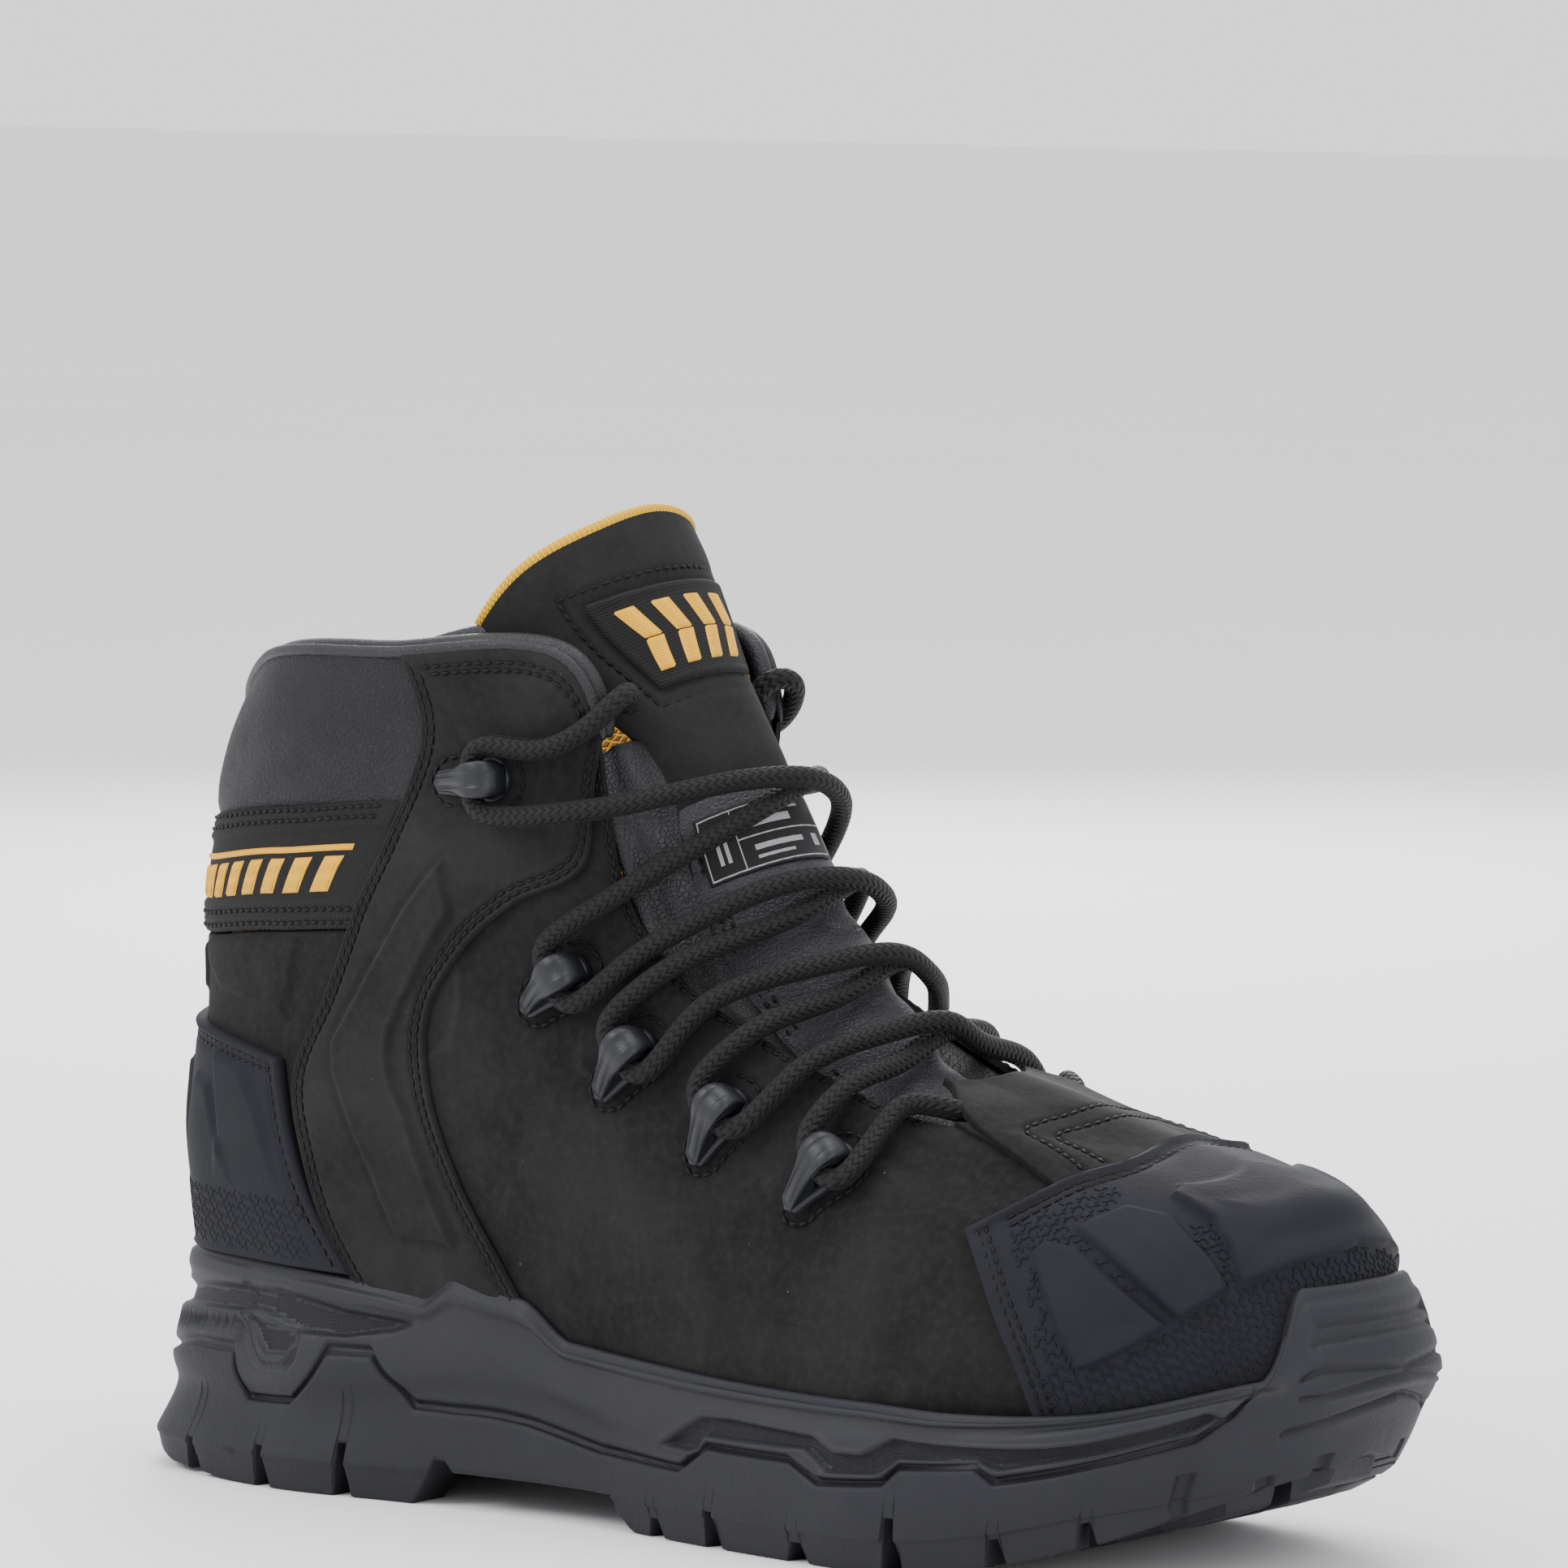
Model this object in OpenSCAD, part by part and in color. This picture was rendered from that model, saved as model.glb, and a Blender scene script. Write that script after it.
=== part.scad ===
// Steel toe work boot, right foot, modelled around one lasted shape.
// +X points to the toe, +Y to the inner side of the foot and +Z up; the tread stands on z = 0.

/* [Boot] */
// Length of the sole from heel to toe bumper
boot_length = 318; // [290:1:345]
// Side to side growth of the whole boot, 1 is a standard fitting
width_fitting = 1; // [0.95:0.01:1.06]
// How far the centre line swings towards the inner side at the toe
toe_swing = 4; // [0:0.5:7]

/* [Upper] */
// Thickness of the nubuck that the upper is cut from
leather = 1.8; // [1.4:0.1:2]
// Thickness of the overlays that are stitched or moulded onto it
overlay = 1.6; // [1.2:0.1:2]
// Thickness of the moulded toe and heel guards
guard = 2.1; // [1.6:0.1:2.4]
// Thickness of the steel in the toe cap
cap_steel = 2; // [1.6:0.1:2.1]
// How far the padded collar stands out behind the ankle
collar_bulge = 3.2; // [0:0.2:5]

/* [Sole] */
// Depth of the tread lugs
lug_depth = 7; // [4:0.5:9]
// Rise of the tread at the toe
toe_spring = 25; // [12:1:28]
// Thickness of the removable footbed
footbed_thick = 4.5; // [3:0.5:6]

/* [Lacing] */
// Diameter of the round lace
lace_d = 4.6; // [3.5:0.1:5]
// Width of the moulded lace hooks
hook_w = 7; // [5.5:0.5:8]

/* [Hidden] */

// ---- the last: [x, half width, z] from toe centre to heel centre, one row for each level ----
LAST = [
    // feather line, where the upper meets the sole
    [[146, 0, 30], [138, 26, 29], [114, 45, 27], [74, 51, 26], [26, 45, 27],
     [-20, 38, 31], [-62, 37, 36], [-102, 35, 38], [-133, 24, 38], [-145, 0, 38]],
    // widest girth
    [[149, 0, 50], [141, 27, 49], [116, 47, 48], [76, 53, 48], [26, 47, 52],
     [-22, 42, 62], [-62, 41, 68], [-103, 38, 68], [-135, 26, 68], [-148, 0, 68]],
    // shoulder of the toe box and ankle hollow
    [[145, 0, 68], [135, 23, 68], [110, 39, 70], [72, 45, 71], [22, 42, 80],
     [-26, 41, 95], [-62, 41, 104], [-103, 37, 103], [-133, 25, 101], [-145, 0, 101]],
    // top of the toe box and ankle bones
    [[128, 0, 79], [119, 16, 79], [95, 27, 82], [65, 34, 84], [12, 37, 103],
     [-26, 39, 124], [-58, 42, 140], [-102, 38, 138], [-132, 25, 134], [-144, 0, 134]],
    // throat, facing edge and collar rim
    [[68, 0, 92], [64, 9, 91], [56, 17, 93], [34, 24, 104], [2, 29, 127],
     [-13, 33, 157], [-25, 37, 183], [-68, 41, 182], [-108, 32, 179], [-137, 0, 163]]
];
heel_u = 9;         // column of the heel centre; the toe centre is column 0
top_v = 4;          // row of the throat and collar rim
last_length = 318;  // sole length that the numbers above are drawn for
k = boot_length / last_length;
gap = 0.35;         // glue line between layers

// ---- interpolation ----
function blend4(t) = [
    -t / 2 + t * t - t * t * t / 2,
    1 - 2.5 * t * t + 1.5 * t * t * t,
    t / 2 + 2 * t * t - 1.5 * t * t * t,
    -t * t / 2 + t * t * t / 2
];
function clamp(a, lo, hi) = max(lo, min(hi, a));
function mix(a, b, t) = a + (b - a) * t;
// a smooth curve through a list of numbers or points, t from 0 to 1
function along(list, t) =
    len(list) == 1 ? list[0] :
    let (
        n = len(list) - 1,
        i = clamp(floor(t * n), 0, n - 1),
        w = blend4(t * n - i),
        before = i == 0 ? 2 * list[0] - list[1] : list[i - 1],
        after = i == n - 1 ? 2 * list[n] - list[n - 1] : list[i + 2]
    )
    w[0] * before + w[1] * list[i] + w[2] * list[i + 1] + w[3] * after;

// ---- the lasted shape; u runs from toe (0) to heel (9), positive outside, v from sole (0) to top (4) ----
function wrapped(u) = u > heel_u ? u - 2 * heel_u : u < -heel_u ? u + 2 * heel_u : u;
function column(c) = c < 0 ? -c : c > heel_u ? 2 * heel_u - c : c;
function flip_beyond(c) = (c < 0 || c > heel_u) ? -1 : 1;
function raw(r, c) =
    r < 0 ? 2 * LAST[0][c] - LAST[1][c] :
    r > top_v ? 2 * LAST[top_v][c] - LAST[top_v - 1][c] : LAST[r][c];
function knot(r, c) = let (p = raw(r, column(c))) [p[0], p[1] * flip_beyond(c), p[2]];
function swing(x) = x > 0 ? toe_swing * pow(x / 155, 2) : 0;
function inner_share(u, v) = 0.94 - 0.25 * pow(v / top_v, 2) * max(0, 1 - pow((u - 4.8) / 3, 2));
function lasted(uu, v) =
    let (
        u = wrapped(uu),
        a = abs(u),
        i = clamp(floor(a), 0, heel_u - 1),
        j = clamp(floor(v), 0, top_v - 1),
        wu = blend4(a - i),
        wv = blend4(v - j),
        rows = [for (q = [0:3])
            wu[0] * knot(j - 1 + q, i - 1) + wu[1] * knot(j - 1 + q, i)
            + wu[2] * knot(j - 1 + q, i + 1) + wu[3] * knot(j - 1 + q, i + 2)],
        p = wv[0] * rows[0] + wv[1] * rows[1] + wv[2] * rows[2] + wv[3] * rows[3],
        w = p[1] * width_fitting * (u > 0 ? -1 : inner_share(a, v))
    )
    k * [p[0], swing(p[0]) + w, p[2]];
step = 0.03;
function unit(a) = a / norm(a);
function outward(u, v) =
    let (vv = clamp(v, step, top_v - step))
    unit(cross(lasted(u, vv + step) - lasted(u, vv - step), lasted(u + step, v) - lasted(u - step, v)));
function on_last(u, v, t) = lasted(u, v) + t * outward(u, v);

// ---- solids from grids ----
// a closed sheet between two grids of points with the same rows and columns
module sheet(face, back, closed = false) {
    n = len(face);
    m = len(face[0]);
    last_i = closed ? n - 1 : n - 2;
    size = n * m;
    points = concat([for (row = face) each row], [for (row = back) each row]);
    function at(i, j, s) = s * size + (i % n) * m + j;
    faces = [
        for (i = [0:last_i], j = [0:m - 2]) each [
            [at(i, j, 0), at(i + 1, j, 0), at(i + 1, j + 1, 0)],
            [at(i, j, 0), at(i + 1, j + 1, 0), at(i, j + 1, 0)],
            [at(i, j, 1), at(i + 1, j + 1, 1), at(i + 1, j, 1)],
            [at(i, j, 1), at(i, j + 1, 1), at(i + 1, j + 1, 1)]],
        for (i = [0:last_i]) each [
            [at(i, 0, 0), at(i, 0, 1), at(i + 1, 0, 1)],
            [at(i, 0, 0), at(i + 1, 0, 1), at(i + 1, 0, 0)],
            [at(i, m - 1, 0), at(i + 1, m - 1, 1), at(i, m - 1, 1)],
            [at(i, m - 1, 0), at(i + 1, m - 1, 0), at(i + 1, m - 1, 1)]],
        if (!closed) for (j = [0:m - 2]) each [
            [at(0, j, 0), at(0, j + 1, 0), at(0, j + 1, 1)],
            [at(0, j, 0), at(0, j + 1, 1), at(0, j, 1)],
            [at(n - 1, j, 0), at(n - 1, j + 1, 1), at(n - 1, j + 1, 0)],
            [at(n - 1, j, 0), at(n - 1, j, 1), at(n - 1, j + 1, 1)]]
    ];
    polyhedron(points, faces, 8);
}

// a piece of the upper between two offsets from the last. The side lists give u up each side,
// and the edge lists give v along the bottom and the top; all are smoothed. Puff swells its middle
// and lift raises its top edge.
module piece(front_u, rear_u, low_v, high_v, cells, t_in, t_out, puff = 0, lift = 0, side = 1) {
    nu = cells[0];
    nv = cells[1];
    function cell(i, j) = let (a = i / nu, b = j / nv) [
        side * mix(along(front_u, b), along(rear_u, b), a),
        mix(along(low_v, a), along(high_v, a), b),
        puff * sin(180 * a) * sin(180 * b) + lift * sin(90 * b)
    ];
    function grid(t) = [for (i = [0:nu]) [for (j = [0:nv]) let (c = cell(side > 0 ? i : nu - i, j))
        on_last(c[0], c[1], t + c[2])]];
    sheet(grid(t_out), grid(t_in));
}

// ---- sole: outlines as [x, half width] by the same columns as the last ----
// the foot of the lugs, the tread's top edge and the fullest line of the sidewall
TREAD = [[152, 0], [142, 27], [113, 50], [72, 55.5], [22, 49], [-20, 40.5], [-64, 41], [-104, 43], [-144, 30], [-158, 0]];
RAND = [[155, 0], [145, 28], [116, 51], [74, 56], [24, 49], [-20, 39.5], [-62, 39], [-102, 41], [-139, 28], [-150, 0]];
BELLY = [[160, 0], [149, 30], [118, 52.5], [75, 56.5], [24, 49.5], [-20, 41], [-62, 40.5], [-102, 42.5], [-139, 29.5], [-151, 0]];
function half_outline(list, a) =
    along([for (c = [-1:heel_u + 1]) let (o = list[column(c)]) [o[0], o[1] * flip_beyond(c)]], (a + 1) / (heel_u + 2));
function outline(list, u, grow) =
    let (d = half_outline(list, min(u + step, heel_u + 1)) - half_outline(list, u - step), n = unit([d[1], -d[0]]))
    half_outline(list, u) + n * grow;
// the two points of the sole's edge at column u, [outer side, inner side]
function edge(list, u, grow) =
    let (q = outline(list, u, grow), c = swing(q[0]))
    [k * [q[0], c - q[1] * width_fitting], k * [q[0], c + 0.94 * q[1] * width_fitting]];

// heights along the boot by its real x: underside, insole seat, and the top of the tread layer
function last_x(x) = x / k;
ground = function(x) let (s = max(0, last_x(x) - 60) / 100) k * toe_spring * 1.04 * pow(s, 1.9);
seat = function(x) let (a = clamp((150 - last_x(x)) / 300, 0, 1))
    k * along([30.5, 27, 26.5, 27.5, 31.5, 36, 38, 38], a);
tread_top = function(x) let (a = clamp((165 - last_x(x)) / 330, 0, 1))
    k * along([36, 27, 20.5, 17, 16, 16, 19, 22, 20, 18, 18, 18], a);
// the lugs grow shallower under the toe
depth = function(x) lug_depth * mix(1, 0.4, clamp((last_x(x) - 115) / 35, 0, 1));

// a solid through levels from low to high, each a list of [outer, inner] points at the stations
stations = [0.12, 0.3, 0.5, 0.65, 0.8, 1, 1.4, 1.8, 2.2, 2.6, 3, 3.5, 4, 4.5, 5, 5.5, 6, 6.5, 7, 7.4, 7.8, 8.1, 8.4, 8.65, 8.88];
module loft(levels) {
    n = len(stations);
    m = len(levels);
    points = [for (i = [0:n - 1]) each [
        for (l = levels) l[i][0],
        for (q = [m - 1:-1:0]) levels[q][i][1]]];
    function at(i, q) = 2 * m * i + q;
    faces = [
        for (i = [0:n - 2], q = [0:2 * m - 1]) let (r = (q + 1) % (2 * m)) each [
            [at(i, q), at(i + 1, r), at(i, r)],
            [at(i, q), at(i + 1, q), at(i + 1, r)]],
        for (q = [0:m - 2]) let (o = 2 * m - 1 - q) each [
            [at(0, q), at(0, q + 1), at(0, o - 1)],
            [at(0, q), at(0, o - 1), at(0, o)],
            [at(n - 1, q), at(n - 1, o - 1), at(n - 1, q + 1)],
            [at(n - 1, q), at(n - 1, o), at(n - 1, o - 1)]]
    ];
    polyhedron(points, faces, 8);
}
function edges(list, grow, height) =
    [for (u = stations) [for (p = edge(list, u, grow)) [p[0], p[1], height(p[0])]]];
function last_edges(v, t) = [for (u = stations) [on_last(u, v, t), on_last(-u, v, t)]];
function lowered(level, height) = [for (pair = level) [for (p = pair) [p[0], p[1], height(p[0])]]];

// room around the upper inside the sole's rim: the toe guard goes down into it, elsewhere it is close
function room(u) = mix(guard + 2 * gap, gap, clamp((u - 2.75) / 0.4, 0, 1));
wall = 2;
// the sole's top edge, as a row of the last, stepping up into the toe bumper
bumper_rise = 0.8;
function lip_row(u) = let (b = clamp((0.95 - u) / 0.32, 0, 1))
    along([0.72, 0.66, 0.44, 0.38, 0.3, 0.2, 0.24, 0.3, 0.33, 0.33], u / heel_u) + bumper_rise * b * b * (3 - 2 * b);
function around(row, t) = [for (u = stations) [on_last(u, row(u), t(u)), on_last(-u, row(u), t(u))]];
function room_edges(v) = around(function(u) v, function(u) room(u));
module cavity() loft([lowered(room_edges(0.05), function(x) seat(x) - 1.6), for (v = [0.35, 0.8, 1.3, 1.8, 2.4]) room_edges(v)]);
module sidewall() loft([edges(RAND, 0, function(x) tread_top(x) + gap), edges(BELLY, 0, function(x) tread_top(x) + 9),
    around(function(u) lip_row(u), function(u) room(u) + wall)]);
bumper_x = 130;  // the tread's rubber comes up in front of this and makes the toe bumper

module outsole() color([0.11, 0.11, 0.12]) difference() {
    union() {
        loft([edges(TREAD, -0.5, function(x) ground(x) + depth(x)), edges(RAND, 0, tread_top)]);
        intersection() {
            union() {
                sidewall();
                loft([edges(RAND, -3, function(x) tread_top(x) - 2), edges(RAND, -3, function(x) tread_top(x) + 2)]);
            }
            translate([k * bumper_x + gap, -100, 0]) cube([60, 200, 120]);
        }
        for (l = LUGS) lug(l);
    }
    cavity();
}
// lugs: [column from, column to, share from, share to, side]; the share is 0 on the edge and 1 on the centre line
LUGS = [
    for (s = [1, -1]) each [
        for (u = [1.55, 2.2, 2.75, 3.25, 3.8, 4.3]) [u, u + 0.42, 0, 0.42, s],
        for (u = [7.05, 7.5, 7.95]) [u, u + 0.33, 0, 0.42, s],
        [6.25, 6.85, 0, 0.45, s],
        [0.95, 1.4, 0, 0.4, s],
        [8.42, 8.75, 0, 0.4, s],
        for (u = [1.3, 2.0, 2.6, 3.1, 3.6, 4.15]) [u, u + 0.3, 0.52, 0.93, s],
        for (u = [6.5, 7.2, 7.7]) [u, u + 0.25, 0.52, 0.93, s]
    ],
    [0.35, 0.8, 0.2, 1.8, 1]
];
// a lug tapers a little from the tread to the ground
draft = 1.2;
level_x = 55;  // behind this the lugs stand flat on the ground
module lug(l) {
    function foot(u, share, top) =
        let (
            e = edge(TREAD, u, -0.5 - (1 - top) * draft),
            near = l[4] > 0 ? e[0] : e[1],
            far = l[4] > 0 ? e[1] : e[0],
            p = near + (far - near) * share / 2)
        [p[0], p[1], top > 0 ? ground(p[0]) + depth(p[0]) + 0.5 : last_x(p[0]) < level_x ? 0 : ground(p[0])];
    corners = [for (top = [0, 1]) each [
        foot(l[0], l[2], top), foot(l[1], l[2], top), foot(l[1], l[3], top), foot(l[0], l[3], top)]];
    hull() polyhedron(corners, [[0, 1, 2, 3], [4, 7, 6, 5], [0, 4, 5, 1], [1, 5, 6, 2], [2, 6, 7, 3], [3, 7, 4, 0]]);
}

shank_size = [92, 14, 1.6];
shank_at = [-42, 0, 0];
module shank_blank(grow) {
    translate([k * (shank_at[0] - shank_size[0] / 2), shank_at[1], seat(-42) - 1.6 - shank_size[2] - 1.7])
        rotate([0, 2.4, 0])
            translate([-grow, -shank_size[1] / 2 - grow, -grow])
                cube([shank_size[0] + 2 * grow, shank_size[1] + 2 * grow, shank_size[2] + 2 * grow]);
}
module midsole() color([0.14, 0.14, 0.15]) difference() {
    sidewall();
    cavity();
    translate([k * bumper_x, -100, 0]) cube([60, 200, 120]);
    shank_blank(0.3);
}
module shank() color("lightsteelblue") shank_blank(0);
// flat layers inside the last's outline, each lifted off the seat
module layer(inset, from, to) {
    e = last_edges(0.1, -inset);
    loft([lowered(e, function(x) seat(x) + from), lowered(e, function(x) seat(x) + to)]);
}
module puncture_plate() color("silver") layer(2.2, -1.3, -0.3);
module insole_board() color("burlywood") layer(6, 0, 1.8);
module footbed() color([0.2, 0.2, 0.22]) layer(6.8, 2.2, 2.2 + footbed_thick);

// ---- upper ----
module vamp() color([0.07, 0.07, 0.07])
    piece([-1.95, -1.95, -1.95, -2, -2.3], [1.95, 1.95, 1.95, 2, 2.3], [0.05],
        [3.5, 3.62, 3.7, 3.72, 3.7, 3.62, 3.5], [16, 12], -leather, 0);
facing_row = [3.5, 3.47, 3.45, 3.45, 3.56, 3.88, 3.97, 3.97, 3.97];
module quarter(s) color([0.07, 0.07, 0.07])
    piece([2.01, 2.01, 2.01, 2.06, 2.36], [6.18, 6.18, 6.18, 6.18, 6.8], [0.05], facing_row,
        [20, 12], -leather, 0, side = s);
module quarter_outer() quarter(1);
module quarter_inner() quarter(-1);
module saddle(s) color([0.09, 0.09, 0.09])
    piece([5.2, 5.42, 5.68, 5.87, 5.88, 5.6, 5.28, 4.95, 5.3], [6.4, 6.62, 6.76, 6.84, 6.62, 6.4, 6.26, 6.4, 6.9],
        [0.34], [3.97], [8, 16], gap, gap + overlay, side = s);
module saddle_outer() saddle(1);
module saddle_inner() saddle(-1);
module back_panel() color([0.08, 0.08, 0.08])
    piece([6.26], [11.74], [0.05], [2.48], [18, 8], -leather, 0);
module heel_band() color([0.06, 0.06, 0.06])
    piece([6.26], [11.74], [2.51], [3.2], [18, 3], -1.5, 0.2);
module collar_pad() color([0.16, 0.16, 0.18])
    piece([6.34, 6.58, 6.99], [11.66, 11.42, 11.01], [3.23], [3.98], [18, 6], -1.2, 0.3, puff = collar_bulge);
module collar_foam() color("khaki")
    piece([7], [11], [2.6], [3.9], [16, 6], -4, -leather - gap);
// rolled edge that closes the rim from one collar front to the other
module collar_piping() color([0.12, 0.12, 0.13])
    piece([5.3], [12.7], [4.01], [4.09], [32, 1], -5.2, 0.6);
module heel_guard() color([0.17, 0.17, 0.18])
    piece([6.46, 6.68, 6.84, 6.95], [11.54, 11.32, 11.16, 11.05], [0.4], [1.7, 1.84, 1.92, 1.95, 1.92, 1.84, 1.7],
        [18, 7], gap, gap + guard);
module heel_stiffener() color("tan")
    piece([7], [11], [0.3], [2.2], [16, 6], -4, -leather - gap);
module toe_guard() color([0.13, 0.13, 0.15])
    piece([-2.25, -2.38, -2.55, -2.7], [2.25, 2.38, 2.55, 2.7], [0.3],
        [2, 2.75, 3.17, 3.38, 3.44, 3.38, 3.17, 2.75, 2], [22, 10], gap, gap + guard);
cap_depth = leather + gap + cap_steel;
module steel_toe_cap() color("silver")
    piece([-1.7], [1.7], [0.3], [2.5, 3.05, 3.2, 3.05, 2.5], [16, 9], -cap_depth, -leather - gap);
module cap_edge_pad() color("dimgray")
    piece([-1.7], [1.7], [2.58, 3.13, 3.28, 3.13, 2.58], [2.78, 3.33, 3.48, 3.33, 2.78], [16, 1],
        -cap_depth, -leather - gap);
module ankle_foam(s) color("khaki")
    piece([5.5], [6.9], [2.6], [3.85], [6, 6], -4, -leather - gap, side = s);
module ankle_foam_outer() ankle_foam(1);
module ankle_foam_inner() ankle_foam(-1);
// one sleeve of knitted lining, cut back along the facings where the tongue sits
lining_t = [-5.3, -4.4];
function lining_row(u) = let (a = abs(u)) mix(3.95, 3.3, clamp(min(a - 1.9, 5.4 - a) / 0.35, 0, 1));
module boot_lining() {
    n = 48;
    function ring(t) = [for (i = [0:n - 1]) let (u = -heel_u + 2 * heel_u * i / n)
        [for (j = [0:8]) on_last(u, mix(0.05, lining_row(u), j / 8), t)]];
    color("gold") sheet(ring(lining_t[1]), ring(lining_t[0]), closed = true);
}
// short strap behind the vamp's top edge; the lace runs across under it
module throat_tab() color([0.08, 0.08, 0.08])
    piece([-1.5], [1.5], [3.5], [4.12], [10, 6], gap, gap + overlay, lift = 3.8);

// ---- tongue: a bent sheet on its own centre line; s runs up the tongue, a across it ----
TONGUE = [[70, 82], [52, 94], [35, 109.5], [20, 128], [8, 149], [-4, 169], [-16, 190], [-27, 211]];
TONGUE_R = [12, 19, 22, 23, 22.5, 20.5, 27, 31];
TONGUE_SWEEP = [60, 78, 84, 86, 82, 72, 92, 98];
tongue_y = -3.5;
function centre_line(s) = along(TONGUE, clamp(s, 0, 1));
function tongue_at(s, a, t) =
    let (
        c = centre_line(s),
        d = unit(centre_line(min(s + 0.02, 1)) - centre_line(max(s - 0.02, 0))),
        n = [d[1], -d[0]],
        r = along(TONGUE_R, s),
        angle = a * along(TONGUE_SWEEP, s),
        drop = r - (r + t) * cos(angle)
    )
    k * [c[0] - n[0] * drop, tongue_y + (r + t) * sin(angle) * width_fitting, c[1] - n[1] * drop];
module tongue_piece(s_from, s_to, a_from, a_to, cells, t_in, t_out) {
    function grid(t) = [for (i = [0:cells[0]]) [for (j = [0:cells[1]])
        tongue_at(mix(along(s_from, j / cells[1]), along(s_to, j / cells[1]), i / cells[0]), mix(a_from, a_to, j / cells[1]), t)]];
    sheet(grid(t_out), grid(t_in));
}
round_top = [0.94, 0.975, 0.99, 1, 0.99, 0.975, 0.94];
module tongue_leather() color([0.08, 0.08, 0.08])
    tongue_piece([0.62], round_top, -1, 1, [8, 16], -1.4, 0);
module tongue_pad() color([0.15, 0.15, 0.16])
    tongue_piece([0.02], [0.61], -0.96, 0.96, [12, 14], -1.4, -0.1);
module tongue_foam() color("khaki")
    tongue_piece([0.04], [for (r = round_top) r - 0.02], -0.9, 0.9, [14, 14], -4.9, -1.75);
module tongue_lining() color([0.96, 0.74, 0.1])
    tongue_piece([0.03], round_top, -1, 1, [14, 16], -6.3, -5.25);
module tongue_badge() color([0.96, 0.74, 0.1])
    tongue_piece([0.77], [0.9], -0.54, 0.34, [4, 10], 0.3, 1);
module tongue_label() color([0.05, 0.05, 0.05])
    tongue_piece([0.505], [0.595], -0.7, 0.3, [4, 8], 0.3, 0.65);
module gusset(s) color([0.13, 0.13, 0.14])
    piece([2.9], [5.0], [2.75], [3.25], [8, 3], lining_t[0] - gap - 0.8, lining_t[0] - gap, side = s);
module gusset_outer() gusset(1);
module gusset_inner() gusset(-1);

// ---- lace hooks: [column, row, how far the nose turns towards the toe], low to high ----
HOOKS = [[3.48, 2.22, 56], [4.0, 2.3, 54], [4.5, 2.4, 55], [4.92, 2.68, 54]];
COLLAR_HOOK = [5.9, 3.39, 47];
hook_base = 1.4;
hook_top = 8.6;
nose_r = hook_w / 2 + 0.7;
nose_x = 3.9;
tunnel = [1.5, 4.1];       // where the lace passes, ahead of the middle and above the leather
tunnel_r = lace_d / 2 + 0.5;
tail_x = -9;
// local axes of a hook: x to its nose, y across it, z away from the leather
function hook_axes(h, s) =
    let (
        n = outward(s * h[0], h[1]),
        rise = lasted(s * h[0], h[1] + 0.2) - lasted(s * h[0], h[1] - 0.2),
        up = unit(rise - (rise * n) * n),
        x = cos(h[2]) * up - s * sin(h[2]) * cross(n, up)
    )
    [x, cross(n, x), n];
function hook_seat(h, s, t) = on_last(s * h[0], h[1], t);
module at_hook(h, s, t) {
    f = hook_axes(h, s);
    p = hook_seat(h, s, t);
    multmatrix([
        [f[0][0], f[1][0], f[2][0], p[0]],
        [f[0][1], f[1][1], f[2][1], p[1]],
        [f[0][2], f[1][2], f[2][2], p[2]],
        [0, 0, 0, 1]]) children();
}
// a drop: round at the nose and narrow at the tail
module drop(r, tail) polygon(concat([[tail_x, tail], [tail_x - tail / 2, 0], [tail_x, -tail], [tail_x / 2, -r * 0.62]],
    [for (a = [-110:20:110]) [nose_x + r * cos(a), r * sin(a)]], [[tail_x / 2, r * 0.62]]));
module hook() {
    linear_extrude(hook_base) drop(nose_r + 0.9, 2.4);
    intersection() {
        linear_extrude(hook_top + 1) drop(nose_r, 1.6);
        rotate([90, 0, 0]) translate([0, 0, -10]) linear_extrude(20) difference() {
            polygon([[tail_x - 1, 0.5], [-8.4, 2], [-5, 4.8], [-1, 7.2], [2.5, hook_top], [5.5, hook_top - 0.1],
                [7.4, 7.2], [8.2, 5.2], [8.4, 0.5]]);
            translate(tunnel) circle(r = tunnel_r, $fn = 36);
            translate([tunnel[0] - tunnel_r, hook_base]) square([2 * tunnel_r, tunnel[1] - hook_base]);
        }
    }
}
collar_hook_t = gap + overlay + gap;
module lace_hooks() color([0.28, 0.28, 0.31])
    for (s = [1, -1], h = HOOKS) at_hook(h, s, gap) hook();
module collar_hooks() color([0.28, 0.28, 0.31])
    for (s = [1, -1]) at_hook(COLLAR_HOOK, s, collar_hook_t) hook();
module rivet_washers() color("silver")
    for (s = [1, -1], h = HOOKS) at_hook(h, s, -leather - gap - 0.7) cylinder(r = 3.4, h = 0.7, $fn = 32);

// ---- lace: one round cord, from inside one collar front to the other ----
function hook_point(h, s, t, q) = let (f = hook_axes(h, s))
    hook_seat(h, s, t) + f[0] * q[0] + f[1] * q[1] * s + f[2] * q[2];
// round a hook's nose, from its toe side to its heel side: [along, across, height]
ROUND_HOOK = [[3.6, -7.2, 4.5], [1.5, -4.8, 4.1], [1.5, 4.8, 4.1], [3.6, 7.2, 4.5]];
function round_hook(i, s) = i < 4
    ? [for (q = ROUND_HOOK) hook_point(HOOKS[i], s, gap, q)]
    : [for (q = ROUND_HOOK) hook_point(COLLAR_HOOK, s, collar_hook_t, q)];
// over the tongue between hook i and the one above: [across, along, lift]; the second strand lies on the first
CROSS_UNDER = [[-0.35, -0.02, 0.8], [0, 0, 0], [0.35, 0.02, 0.8]];
CROSS_OVER = [[-0.35, 0.02, 3.6], [0, 0, 5.4], [0.35, -0.02, 3.6]];
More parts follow.
